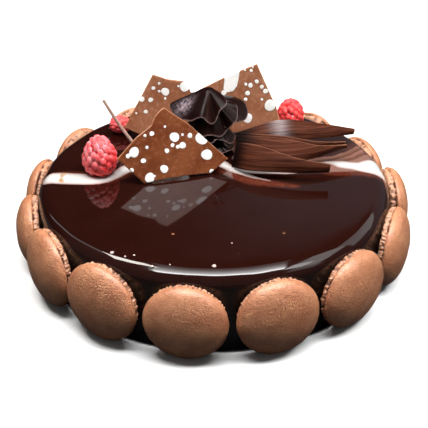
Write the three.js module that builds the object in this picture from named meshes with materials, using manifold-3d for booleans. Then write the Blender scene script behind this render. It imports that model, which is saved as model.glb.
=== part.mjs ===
// A round triple chocolate cake under a mirror glaze, with a ring of macaron shells stood on edge against
// its side, and on top three milk chocolate plaques, a dark chocolate ruffle, a fan of chocolate
// shavings, a thin chocolate stick and three raspberries.
//
// Millimetres, +Z up. The origin is the middle of the flat underside. -Y is the front of the cake and
// angles round it are measured from the front towards +X.

import * as THREE from "three";
import { ConvexGeometry } from "three/addons/geometries/ConvexGeometry.js";
import { mergeVertices } from "three/addons/utils/BufferGeometryUtils.js";
import Module from "manifold-3d";

// ---------------------------------------------------------------- driving dimensions

const GAP = 0.3; // clearance between pieces that touch

const CAKE = {
  height: 49,
  topRadius: 103.8, // widest point of the rim
  baseRadius: 103.9,
  rimFillet: 9,
  baseFillet: 1.5,
  sides: 60,
};

const MACARON = {
  backDistance: 104.2, // from the cake's axis to the flat back of each shell
  thickness: 14.4,
  footDepth: 4.2,
  footInset: 0.7, // how much narrower the foot is than the dome
  skirt: 0.9, // from the foot to the widest ring of the dome
  domePower: 2, // 2 makes the dome's section an ellipse, more makes it squarer
  domeTurns: [0, 28, 52, 72], // degrees round that section
  ruffle: 0.35,
  sides: 24,
};

// Where each shell stands, with its half width and half height: they were baked by hand and differ.
const SHELLS = [
  { angle: -33.3, halfWidth: 22.5, halfHeight: 23.3 },
  { angle: -7.8, halfWidth: 22.8, halfHeight: 22.7 },
  { angle: 18.0, halfWidth: 23.0, halfHeight: 23.2 },
  { angle: 43.8, halfWidth: 23.4, halfHeight: 22.8 },
  { angle: 70.0, halfWidth: 23.4, halfHeight: 23.0 },
  { angle: 95.3, halfWidth: 22.7, halfHeight: 23.0 },
  { angle: 119.0, halfWidth: 22.2, halfHeight: 22.8 },
  { angle: 142.2, halfWidth: 21.8, halfHeight: 23.9 },
  { angle: 165.1, halfWidth: 21.7, halfHeight: 23.6 },
  { angle: -172.0, halfWidth: 21.7, halfHeight: 23.6 },
  { angle: -149.1, halfWidth: 21.8, halfHeight: 24.2 },
  { angle: -125.6, halfWidth: 22.1, halfHeight: 23.6 },
  { angle: -102.8, halfWidth: 21.3, halfHeight: 22.2 },
  { angle: -80.2, halfWidth: 21.5, halfHeight: 21.6 },
  { angle: -57.0, halfWidth: 22.5, halfHeight: 23.0 },
];

// Raspberries: the middle of each on the glaze, its size, how much narrower it gets towards its tip, and
// how far it leans from upright.
const RASPBERRIES = [
  { at: [-67.5, 3.8], radius: 10.7, length: 24, narrowing: 0.17, drupelets: 60, lean: 0, turn: 0 },
  { at: [-59.5, 55.0], radius: 5.8, length: 15.5, narrowing: 0.1, drupelets: 38, lean: 88, turn: 82 },
  { at: [49.6, 65.5], radius: 9.0, length: 19.0, narrowing: 0.15, drupelets: 56, lean: 0, turn: 40 },
];
const DRUPELET_RISE = 0.17; // height of a drupelet as a share of the berry's radius

const PLAQUE_THICKNESS = 1.6;

// Each plaque stands on the glaze at a corner or an edge. The outline is measured along the plaque and
// up it from that place, `facing` turns it about the vertical and `tilt` is its slope from the flat.
const PLAQUES = [
  {
    name: "plaque_front",
    at: [-40.5, -12.1],
    lift: 0.5,
    facing: 17,
    tilt: 70,
    outline: [
      [0, 0], [40.3, 0.3], [51.8, 7.4], [30.1, 31.2],
      [16.6, 42.4], [8.4, 33.3], [-1.4, 27.4], [-14, 16.5],
    ],
    bulges: [-0.9, 0, 0, 0, 1.2, 0, 0, 0],
  },
  {
    name: "plaque_back_left",
    at: [-38.6, 44.2],
    lift: 0.3,
    facing: 5,
    tilt: 77,
    outline: [
      [0, 0], [27, 2.5], [33.5, 26.5], [25.2, 29.7],
      [20.6, 36.4], [10.4, 38], [1.6, 41.3], [-17.5, 8.2],
    ],
    bulges: [0, 0, 0, 0, 0, 0, 0, 0],
  },
  {
    name: "plaque_back_right",
    at: [43.5, 47.6],
    lift: 0.3,
    facing: -8,
    tilt: 75,
    outline: [
      [0, 0], [-2.6, 11.2], [-5, 18.5], [-18.6, 45.2],
      [-29.7, 40.2], [-38.3, 35.9], [-56, 26], [-42, 1],
    ],
    bulges: [0, 0, 0, 0, 0, 0, 0, 0],
  },
];

const STICK = { foot: [-50.6, 38.6], tip: [-67.9, 40.6, 78.2], thickness: 2.4 };

// The ruffle is five frilled petals round one core. Each opens out and droops to a free edge that runs
// through the stations given, as [angle from the front, radius, height above the glaze]. A droop of 1
// makes a petal straight from the core to its edge, and more makes it bow outwards.
const RUFFLE = {
  at: [-3.5, 34.5],
  core: [[0, 0], [7.5, 0], [5.5, 12], [4.5, 30], [3.4, 37], [2.8, 39.2], [0, 39.9]],
  root: 2.5, // radius at which the petals leave the core
  thickness: 1.2,
  columns: 32,
  rows: 2,
  petals: [
    {
      top: 39.2,
      droop: 1.02,
      edge: [
        [-104, 24.4, 26], [-75, 20, 22], [-59, 16.5, 22.8], [-41, 15.2, 23.4], [-27, 15, 25.8],
        [-12, 15, 27.3], [-4, 15, 26], [1, 15.2, 24.6], [9, 15.5, 23.6], [17, 15.3, 24.8],
        [22, 15, 27.4], [28, 15, 31.1], [37, 15.3, 32.9], [47, 15, 34.5], [60, 12, 35.6],
        [72, 8.5, 37], [90, 5.5, 37.5], [130, 3.5, 35], [180, 3, 33], [215, 3.5, 32.5],
        [235, 6, 33], [247, 14, 32], [252, 20, 28.5],
      ],
    },
    {
      top: 33,
      droop: 1.2,
      edge: [
        [-75, 14, 15], [-40, 14, 16], [-13.7, 15, 14.9], [-1, 15, 15.6], [11.8, 15, 15.3],
        [23.7, 15, 14], [33.5, 15, 13.9], [42.3, 15, 15.3], [50.8, 15, 16.5], [56, 18, 20.7],
        [67, 18.5, 21.8], [78, 18.2, 24.5], [90, 17, 29], [110, 11, 30], [140, 5.5, 29],
        [180, 5, 27], [220, 5.5, 25], [250, 10, 20],
      ],
    },
    {
      top: 33,
      droop: 1.2,
      edge: [
        [50, 14, 18], [68, 18.5, 20.5], [80, 22.5, 20.5], [92, 24.2, 22], [102, 24.4, 24.5],
        [112, 23.4, 27], [124, 20.5, 28.5], [138, 15, 30], [160, 8, 31], [215, 5.2, 30],
        [290, 5.2, 29], [340, 6, 27], [385, 9, 22],
      ],
    },
    {
      top: 19,
      droop: 1.2,
      edge: [
        [-70, 12.6, 8.5], [-45, 13.5, 9.6], [-20, 14, 9], [8.8, 15, 10.6], [14.7, 15, 11.4],
        [22, 14.6, 12.1], [35, 12.5, 11], [50, 14, 6.5], [70, 13, 7.5], [105, 12.4, 9.4],
        [130, 11, 9.4], [160, 9.2, 11], [190, 8.4, 9], [220, 9, 11], [255, 11.4, 9.6],
      ],
    },
    {
      top: 9.5,
      droop: 1.2,
      edge: [
        [-60, 11.6, 1.6], [-25, 12.8, 3], [5, 13.6, 1.6], [33, 15.5, 2.6], [50, 14.5, 3.2],
        [80, 12.6, 1.6], [120, 12, 3.2], [165, 9.2, 1.8], [210, 9, 3], [255, 11, 1.8],
      ],
    },
  ],
};

// Shavings: the lower and upper long edge of each, from the ruffle out to the tip. Heights are above
// the glaze.
const SHAVINGS = [
  {
    name: "shaving_01",
    lower: [[10.5, 7.8, 1], [23, -3, 4.3], [47, -8, 5.9], [67, -8.3, 6.5]],
    upper: [[13.4, 13, 15], [26.5, 5.6, 16.6], [47.6, -4.6, 14], [67.8, -8.1, 11.6]],
    belly: 1.2,
  },
  {
    name: "shaving_02",
    lower: [[12.5, 12.2, 2], [36, 4, 5], [58, 9.4, 5.6], [81, 19.6, 8.8]],
    upper: [[13.4, 17.2, 17.6], [41.2, 15.6, 16.2], [62, 13, 13], [80, 17, 11.2]],
    belly: 1.0,
  },
  {
    name: "shaving_03",
    lower: [[13, 17.2, 5], [40, 13, 7.5], [62, 14.6, 8], [79, 20.4, 10.4]],
    upper: [[13.8, 21, 17.2], [41, 18.8, 16.2], [62, 15.6, 14.2], [79.4, 19, 12.2]],
    belly: 0.6,
  },
  {
    name: "shaving_04",
    lower: [[14.6, 22, 6], [41, 21, 12.2], [62, 20.6, 13.4], [85, 27, 13.4]],
    upper: [[14.2, 25, 19], [39, 30, 21.2], [61, 28.4, 20.2], [86, 28.6, 15.8]],
    belly: 1.6,
  },
];
const SHAVING = { thickness: 1.2, columns: 15, rows: 4 };

const COLOURS = {
  glaze: { color: 0x1c0b08, roughness: 0.08, metalness: 0 },
  macaron: { color: 0xa8714f, roughness: 0.75, metalness: 0 },
  raspberry: { color: 0xc62a34, roughness: 0.45, metalness: 0 },
  milkChocolate: { color: 0x7a4428, roughness: 0.4, metalness: 0 },
  darkChocolate: { color: 0x1f0f0c, roughness: 0.22, metalness: 0 },
  shaving: { color: 0x2f1912, roughness: 0.4, metalness: 0 },
  stick: { color: 0x9c7564, roughness: 0.5, metalness: 0 },
};

// ---------------------------------------------------------------- solids by manifold

const wasm = await Module();
wasm.setup();

function weld(geometry) {
  const bare = new THREE.BufferGeometry();
  bare.setAttribute("position", geometry.getAttribute("position").clone());
  if (geometry.index) bare.setIndex(geometry.index.clone());
  return mergeVertices(bare, 1e-4);
}

function toSolid(geometry) {
  const welded = weld(geometry);
  return new wasm.Manifold(new wasm.Mesh({
    numProp: 3,
    vertProperties: Float32Array.from(welded.getAttribute("position").array),
    triVerts: Uint32Array.from(welded.index.array),
  }));
}

function toGeometry(solid) {
  const mesh = solid.getMesh();
  const geometry = new THREE.BufferGeometry();
  geometry.setAttribute("position", new THREE.BufferAttribute(Float32Array.from(mesh.vertProperties), 3));
  geometry.setIndex(new THREE.BufferAttribute(Uint32Array.from(mesh.triVerts), 1));
  return geometry;
}

// ---------------------------------------------------------------- helpers

const radians = THREE.MathUtils.degToRad;
const mix = THREE.MathUtils.lerp;

// A point at an angle from the front of the cake.
function aroundCake(angle, radius, height) {
  return new THREE.Vector3(radius * Math.sin(angle), -radius * Math.cos(angle), height);
}

function surfaceNormal(surface, u, v) {
  const step = 1e-3;
  const alongU = surface(u + step, v).sub(surface(u - step, v));
  const alongV = surface(u, v + step).sub(surface(u, v - step));
  return alongU.cross(alongV).normalize();
}

// A closed sheet of even thickness about surface(u, v), u and v from 0 to 1, both faces split alike.
// With `ring` the surface joins up with itself along u.
function thickSheet(surface, columns, rows, thickness, ring = false) {
  const positions = [];
  const across = ring ? columns : columns + 1;
  for (const side of [0.5, -0.5]) {
    for (let i = 0; i < across; i++) {
      for (let j = 0; j <= rows; j++) {
        const u = i / columns;
        const v = j / rows;
        const point = surface(u, v).addScaledVector(surfaceNormal(surface, u, v), side * thickness);
        positions.push(point.x, point.y, point.z);
      }
    }
  }
  const back = across * (rows + 1);
  const vertex = (i, j, side) => side * back + (i % across) * (rows + 1) + j;
  const faces = [];
  const quad = (a, b, c, d) => faces.push(a, b, c, a, c, d);
  for (let i = 0; i < columns; i++) {
    for (let j = 0; j < rows; j++) {
      quad(vertex(i, j, 0), vertex(i + 1, j, 0), vertex(i + 1, j + 1, 0), vertex(i, j + 1, 0));
      faces.push(vertex(i, j, 1), vertex(i + 1, j + 1, 1), vertex(i + 1, j, 1));
      faces.push(vertex(i, j, 1), vertex(i, j + 1, 1), vertex(i + 1, j + 1, 1));
    }
    quad(vertex(i, 0, 1), vertex(i + 1, 0, 1), vertex(i + 1, 0, 0), vertex(i, 0, 0));
    quad(vertex(i, rows, 0), vertex(i + 1, rows, 0), vertex(i + 1, rows, 1), vertex(i, rows, 1));
  }
  if (!ring) {
    for (let j = 0; j < rows; j++) {
      quad(vertex(0, j, 0), vertex(0, j + 1, 0), vertex(0, j + 1, 1), vertex(0, j, 1));
      quad(
        vertex(columns, j, 1),
        vertex(columns, j + 1, 1),
        vertex(columns, j + 1, 0),
        vertex(columns, j, 0),
      );
    }
  }
  const geometry = new THREE.BufferGeometry();
  geometry.setAttribute("position", new THREE.Float32BufferAttribute(positions, 3));
  geometry.setIndex(faces);
  return geometry;
}

function lowestPoint(geometry) {
  geometry.computeBoundingBox();
  return geometry.boundingBox.min.z;
}

const cake = new THREE.Group();

function add(name, geometry, look) {
  const mesh = new THREE.Mesh(geometry, new THREE.MeshStandardMaterial(COLOURS[look]));
  mesh.name = name;
  cake.add(mesh);
  return mesh;
}

// ---------------------------------------------------------------- the glazed cake

function fillet(centreX, centreY, radius, from, to, steps) {
  const points = [];
  for (let i = 0; i <= steps; i++) {
    const angle = radians(mix(from, to, i / steps));
    points.push(new THREE.Vector2(centreX + radius * Math.cos(angle), centreY + radius * Math.sin(angle)));
  }
  return points;
}

function cakeGeometry() {
  const { height, topRadius, baseRadius, rimFillet, baseFillet, sides } = CAKE;
  const profile = [
    new THREE.Vector2(0, 0),
    ...fillet(baseRadius - baseFillet, baseFillet, baseFillet, -90, 0, 2),
    ...fillet(topRadius - rimFillet, height - rimFillet, rimFillet, 0, 90, 5),
    new THREE.Vector2(0, height),
  ];
  return new THREE.LatheGeometry(profile, sides).rotateX(Math.PI / 2);
}

// ---------------------------------------------------------------- macaron shells

// The dome from its widest ring to the middle of its face, as [radius, distance from the flat back].
function domeProfile() {
  const { thickness, footDepth, skirt, domePower, domeTurns } = MACARON;
  const rings = domeTurns.map((turn) => [
    Math.cos(radians(turn)) ** (2 / domePower),
    mix(footDepth + skirt, thickness, Math.sin(radians(turn)) ** (2 / domePower)),
  ]);
  return [...rings, [0, thickness]];
}

// One shell about its own axis, +Y: the flat back at 0, the ruffled foot, and the domed top.
function shellGeometry(order) {
  const { footDepth, footInset, ruffle, sides } = MACARON;
  const foot = 1 - footInset / SHELLS[order].halfWidth;
  const profile = [
    [0, 0],
    [foot - 0.03, 0],
    [foot + 0.005, 0.32 * footDepth],
    [foot - 0.01, 0.85 * footDepth],
    ...domeProfile(),
  ].map(([radius, depth]) => new THREE.Vector2(radius, depth));
  const geometry = new THREE.LatheGeometry(profile, sides);
  const position = geometry.getAttribute("position");
  for (let i = 0; i < position.count; i++) {
    const x = position.getX(i);
    const z = position.getZ(i);
    const angle = Math.atan2(z, x);
    const inFoot = position.getY(i) < footDepth;
    const wave = Math.sin(9 * angle + order) + Math.sin(5 * angle + 2.3 * order);
    const swell = inFoot ? (0.5 * ruffle * wave) / SHELLS[order].halfWidth : 0;
    position.setX(i, x * (1 + swell));
    position.setZ(i, z * (1 + swell));
  }
  return geometry;
}

function addShell(shell, order) {
  const number = String(order + 1).padStart(2, "0");
  const geometry = shellGeometry(order);
  geometry.scale(shell.halfWidth, 1, shell.halfHeight);
  const tallest = shell.halfHeight;
  geometry.rotateZ(Math.PI); // outwards is now -Y
  const mesh = add(`macaron_${number}`, geometry, "macaron");
  const angle = radians(shell.angle);
  mesh.position.copy(aroundCake(angle, MACARON.backDistance, tallest));
  mesh.rotation.z = angle;
}

// ---------------------------------------------------------------- raspberries

// Directions spread evenly over a sphere.
function evenDirections(count) {
  const goldenAngle = Math.PI * (3 - Math.sqrt(5));
  const directions = [];
  for (let i = 0; i < count; i++) {
    const z = 1 - (2 * (i + 0.5)) / count;
    const radius = Math.sqrt(1 - z * z);
    const turn = goldenAngle * i;
    directions.push(new THREE.Vector3(radius * Math.cos(turn), radius * Math.sin(turn), z));
  }
  return directions;
}

// The corners between neighbouring drupelets: the middles of the triangles that join their centres.
function cornersBetween(centres) {
  const hull = new ConvexGeometry(centres).getAttribute("position");
  const corners = [];
  for (let i = 0; i < hull.count; i += 3) {
    const corner = new THREE.Vector3();
    for (let k = 0; k < 3; k++) corner.add(new THREE.Vector3().fromBufferAttribute(hull, i + k));
    corners.push(corner.normalize());
  }
  return corners;
}

// Six points round each drupelet, part of the way down its side.
function ringRound(centre, reach) {
  const side = new THREE.Vector3(0.3, 0.5, 0.81).cross(centre).normalize();
  const other = new THREE.Vector3().crossVectors(centre, side);
  const ring = [];
  for (let k = 0; k < 6; k++) {
    const turn = (k * Math.PI) / 3;
    const offset = side.clone().multiplyScalar(Math.cos(turn)).addScaledVector(other, Math.sin(turn));
    ring.push(centre.clone().addScaledVector(offset, reach).normalize());
  }
  return ring;
}

// One berry with its tip up +Z, standing on a flat at 0.
function raspberryGeometry({ radius, length, narrowing, drupelets }) {
  const centres = evenDirections(drupelets);
  const cell = 2 / Math.sqrt(drupelets); // angular radius of one drupelet
  const rings = centres.flatMap((centre) => ringRound(centre, 0.62 * cell));
  const geometry = weld(new ConvexGeometry([...centres, ...rings, ...cornersBetween(centres)]));
  const position = geometry.getAttribute("position");
  const bareRadius = radius * (1 - DRUPELET_RISE);
  for (let i = 0; i < position.count; i++) {
    const direction = new THREE.Vector3().fromBufferAttribute(position, i).normalize();
    const nearest = Math.min(...centres.map((centre) => centre.angleTo(direction)));
    const rise = DRUPELET_RISE * Math.sqrt(Math.max(0, 1 - (nearest / (1.12 * cell)) ** 2));
    const across = bareRadius * (1 - narrowing * direction.z) * (1 + rise / (1 - DRUPELET_RISE));
    const along = (length / 2) * (1 - DRUPELET_RISE + rise);
    const z = Math.max(direction.z * along, -0.42 * length);
    position.setXYZ(i, direction.x * across, direction.y * across, z);
  }
  return geometry;
}

function addRaspberry(berry, order) {
  const geometry = raspberryGeometry(berry);
  geometry.rotateX(radians(berry.lean)).rotateZ(radians(berry.turn));
  geometry.translate(0, 0, -lowestPoint(geometry));
  const mesh = add(`raspberry_0${order + 1}`, geometry, "raspberry");
  mesh.position.set(berry.at[0], berry.at[1], CAKE.height + GAP);
}

// ---------------------------------------------------------------- plaques and stick

// The flat outline, with each side bowed outwards by its bulge.
function plaqueShape({ outline, bulges }) {
  const shape = new THREE.Shape();
  shape.moveTo(...outline[0]);
  outline.forEach(([x, y], i) => {
    const [nextX, nextY] = outline[(i + 1) % outline.length];
    const length = Math.hypot(nextX - x, nextY - y);
    const bow = (2 * bulges[i]) / length;
    shape.quadraticCurveTo(
      (x + nextX) / 2 - bow * (y - nextY),
      (y + nextY) / 2 - bow * (nextX - x),
      nextX,
      nextY,
    );
  });
  return shape;
}

function addPlaque(plaque) {
  const geometry = new THREE.ExtrudeGeometry(plaqueShape(plaque), {
    depth: PLAQUE_THICKNESS,
    bevelEnabled: false,
    curveSegments: 4,
  });
  geometry.translate(0, 0, -PLAQUE_THICKNESS);
  geometry.rotateX(radians(plaque.tilt)).rotateZ(radians(plaque.facing));
  geometry.translate(0, 0, -lowestPoint(geometry));
  const mesh = add(plaque.name, geometry, "milkChocolate");
  mesh.position.set(plaque.at[0], plaque.at[1], CAKE.height + plaque.lift);
}

function addStick() {
  const foot = new THREE.Vector3(...STICK.foot, CAKE.height + GAP);
  const tip = new THREE.Vector3(...STICK.tip);
  const length = foot.distanceTo(tip);
  const geometry = new THREE.CylinderGeometry(STICK.thickness / 2, STICK.thickness / 2, length, 8);
  geometry.translate(0, length / 2, 0);
  const along = tip.clone().sub(foot).normalize();
  const turn = new THREE.Quaternion().setFromUnitVectors(new THREE.Vector3(0, 1, 0), along);
  geometry.applyQuaternion(turn);
  geometry.translate(0, 0, -lowestPoint(geometry));
  const mesh = add("chocolate_stick", geometry, "stick");
  mesh.position.copy(foot);
}

// ---------------------------------------------------------------- the chocolate ruffle

// One petal, u along its free edge and v out to it from the core.
function petalSurface({ top, droop, edge }) {
  const stations = edge.map(([angle, radius, height]) => aroundCake(radians(angle), radius, height));
  const freeEdge = new THREE.CatmullRomCurve3(stations, true, "catmullrom", 0.5);
  return (u, v) => {
    const end = freeEdge.getPoint(u);
    const reach = Math.hypot(end.x, end.y);
    const share = mix(RUFFLE.root, reach, v) / reach;
    const height = top - (top - end.z) * Math.max(v, 0) ** droop;
    return new THREE.Vector3(end.x * share, end.y * share, height);
  };
}

function addRuffle() {
  const profile = RUFFLE.core.map(([radius, height]) => new THREE.Vector2(radius, height));
  let solid = toSolid(new THREE.LatheGeometry(profile, 12).rotateX(Math.PI / 2));
  for (const petal of RUFFLE.petals) {
    const sheet = thickSheet(petalSurface(petal), RUFFLE.columns, RUFFLE.rows, RUFFLE.thickness, true);
    solid = solid.add(toSolid(sheet));
  }
  const mesh = add("chocolate_ruffle", toGeometry(solid), "darkChocolate");
  mesh.position.set(RUFFLE.at[0], RUFFLE.at[1], CAKE.height + GAP);
}

// ---------------------------------------------------------------- the fan of shavings

// A strip between two long edges, bellied out across its width.
function shavingSurface({ lower, upper, belly }) {
  const [lowerEdge, upperEdge] = [lower, upper].map((points) => {
    const stations = points.map((point) => new THREE.Vector3(...point));
    return new THREE.CatmullRomCurve3(stations, false, "catmullrom", 0.5);
  });
  return (u, v) => {
    const share = THREE.MathUtils.clamp(u, 0, 1);
    const low = lowerEdge.getPoint(share);
    const high = upperEdge.getPoint(share);
    const across = high.clone().sub(low);
    const outwards = new THREE.Vector3(0, -across.z, across.y).normalize();
    return low.addScaledVector(across, v).addScaledVector(outwards, 4 * belly * v * (1 - v));
  };
}

function addShaving(shaving) {
  const sheet = thickSheet(shavingSurface(shaving), SHAVING.columns, SHAVING.rows, SHAVING.thickness);
  const mesh = add(shaving.name, sheet, "shaving");
  mesh.position.z = CAKE.height;
}

// ---------------------------------------------------------------- assembly

add("cake", cakeGeometry(), "glaze");
SHELLS.forEach(addShell);
RASPBERRIES.forEach(addRaspberry);
PLAQUES.forEach(addPlaque);
addStick();
addRuffle();
SHAVINGS.forEach(addShaving);

export default cake;
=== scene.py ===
"""A glazed chocolate cake with a ring of macaron shells, chocolate trimmings and raspberries.

Lengths are millimetres in the frame's axes until they reach a Blender mesh: +Z up, -Y the front, and
angles round the cake are measured from the front towards +X. What each piece stands for keeps the
place and the size that the frame gives it.
"""

import math

import bmesh
import bpy
import numpy as np
from mathutils import Matrix, Vector, noise
from mathutils.geometry import delaunay_2d_cdt


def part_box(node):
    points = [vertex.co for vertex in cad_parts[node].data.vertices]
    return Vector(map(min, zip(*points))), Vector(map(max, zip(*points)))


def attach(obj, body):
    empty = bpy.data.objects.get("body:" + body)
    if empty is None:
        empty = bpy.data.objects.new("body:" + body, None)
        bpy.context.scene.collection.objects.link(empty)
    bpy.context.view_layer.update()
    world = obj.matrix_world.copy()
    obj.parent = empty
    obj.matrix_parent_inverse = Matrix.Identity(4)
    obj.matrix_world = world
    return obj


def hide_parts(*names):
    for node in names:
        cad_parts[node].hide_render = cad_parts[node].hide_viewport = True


MM = 0.001

# ---------------------------------------------------------------- driving dimensions

CAKE = {
    "top_radius": 103.8,
    "base_radius": 103.9,
    "rim_fillet": 9.0,
    "base_fillet": 1.5,
    "marbled_down": 12.0,  # how far below the top the marbling may run over the rim
    "sides": 300,
}
# How far the glaze runs unevenly: sideways, inwards all round, and down over the rim.
GLAZE_RUN = {"sway": 0.45, "inwards": 0.25, "down": 0.3}

MACARON = {
    "foot_depth": 3.0,
    "foot_inset": 0.7,
    "skirt": 0.7,
    "heel": 0.03,  # share of the half width by which the foot narrows to the flat back
    "sides": 360,
    "sides_behind": 200,
    "behind": 100,  # degrees from the front past which a shell has fewer sides
}

RASPBERRIES = {
    "raspberry_01": {
        "radius": 10.5, "length": 26.4, "narrowing": 0.25, "lean": 0, "turn": 0,
        "drupelets": 84, "seed": 3, "rim_sheen": 1.0, "levels": 7,
    },
    "raspberry_02": {
        "radius": 5.8, "length": 15.5, "narrowing": 0.10, "lean": 88, "turn": 82,
        "drupelets": 50, "seed": 5, "rim_sheen": 0.2, "levels": 6,
    },
    "raspberry_03": {
        "radius": 9.0, "length": 20.4, "narrowing": 0.15, "lean": 0, "turn": 40,
        "drupelets": 76, "seed": 8, "rim_sheen": 0.05, "levels": 6,
    },
}
# A berry is cut flat this share of its length below its middle.
BERRY_FOOT = 0.42
# A painted sheen lies on the side of a berry that faces this way, towards the lights.
SHEEN_SIDE = (-0.45, -0.25, 0.85)
# Hairs start only higher than the bare stretch above the glaze.
HAIRS = {"count": 70, "length": 1.5, "width": 0.07, "bare": 2.5}

# The wave and the drops' rise move the faces. The front face is set back and the back keeps a small
# clearance, so that the sheet stays about where its solid is.
PLAQUE = {
    "thickness": 1.6, "bevel": 0.32, "grid": 0.65,
    "wave": 0.10, "drop_rise": 0.10, "set_back": 0.15, "clearance": 0.02,
}
PLAQUES = {
    "plaque_front": {
        "at": (-40.5, -12.1), "lift": 0.5, "facing": 17, "tilt": 70,
        "outline": [
            (0, 0), (40.3, 0.3), (51.8, 7.4), (30.1, 31.2),
            (16.6, 42.4), (8.4, 33.3), (-1.4, 27.4), (-14, 16.5),
        ],
        "bulges": [-0.9, 0, 0, 0, 1.2, 0, 0, 0],
    },
    "plaque_back_left": {
        "at": (-38.6, 44.2), "lift": 0.3, "facing": 5, "tilt": 77,
        "outline": [
            (0, 0), (27, 2.5), (33.5, 26.5), (25.2, 29.7),
            (20.6, 36.4), (10.4, 38), (1.6, 41.3), (-17.5, 8.2),
        ],
    },
    "plaque_back_right": {
        "at": (43.5, 47.6), "lift": 0.3, "facing": -8, "tilt": 75,
        "outline": [
            (0, 0), (-2.6, 11.2), (-5, 18.5), (-18.6, 45.2),
            (-29.7, 40.2), (-38.3, 35.9), (-56, 26), (-42, 1),
        ],
    },
}

# White chocolate drops on each plaque's face, as (along, up, radius).
DROPS = {
    "plaque_front": [
        (15.9, 31.4, 0.8), (7.8, 28.4, 1.4), (3.6, 27.8, 0.9), (20.9, 24.6, 2.8), (25.8, 25.4, 0.8),
        (30.2, 24.2, 1.5), (19.2, 20.1, 1.2), (22.3, 18.7, 1.2), (25.2, 19.1, 2.0), (37.2, 21.7, 3.7),
        (15.5, 17.3, 1.4), (4.0, 20.9, 1.0), (-3.8, 19.1, 2.9), (-7.5, 17.4, 1.4), (1.0, 13.4, 1.5),
        (39.2, 11.6, 3.2), (12.7, 6.9, 2.4), (-6.4, 9.0, 1.2), (3.6, 2.9, 2.9), (6.7, 3.6, 0.6),
        (41.2, 1.3, 1.5),
    ],
    "plaque_back_left": [
        (5.3, 35.6, 0.9), (1.6, 32.8, 1.2), (5.1, 30.7, 0.9), (8.9, 30.3, 2.5), (17.1, 33.5, 0.7),
        (8.7, 26.0, 0.8), (-5.8, 26.1, 1.7), (-0.4, 25.5, 1.5), (-3.7, 18.1, 1.3), (-9.7, 17.2, 0.7),
        (21.0, 32.9, 3.0), (25.3, 30.0, 1.0),
    ],
    "plaque_back_right": [
        (-21.0, 43.2, 0.6), (-22.0, 41.0, 1.0), (-25.9, 41.1, 0.7), (-18.2, 34.3, 1.3), (-25.0, 32.2, 1.0),
        (-22.0, 31.7, 1.5), (-14.8, 31.2, 1.3), (-12.3, 28.6, 1.6), (-23.6, 26.6, 1.5), (-24.6, 22.6, 1.2),
        (-14.4, 23.2, 0.9), (-9.1, 19.7, 3.5), (-22.8, 10.7, 3.0), (-38.6, 26.1, 1.7),
    ],
}
# What the distance to a drop says where there is none near, in millimetres.
NO_DROP = 20.0
# One drop ran before it set, into a tongue with this outline on the same plaque.
TONGUE = {
    "plaque": "plaque_back_right",
    "outline": [
        (-38.3, 37.0), (-29.5, 41.5), (-30.0, 36.0), (-30.8, 31.0), (-33.0, 27.6), (-36.0, 26.8),
        (-38.6, 28.5), (-38.2, 33.0),
    ],
}

STICK = {
    "foot": (-50.6, 38.6, 49.3), "tip": (-67.9, 40.6, 78.2), "thickness": 2.4, "tip_share": 0.82,
    "bend": 0.5, "grooves": 5, "groove_share": 0.10, "rings": 60, "sides": 28,
}
# Each end of the stick is rounded through these (distance from the end, share of the thickness).
STICK_ENDS = [(0.0, 0.0), (0.02, 0.55), (0.06, 0.8), (0.16, 0.94)]
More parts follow.
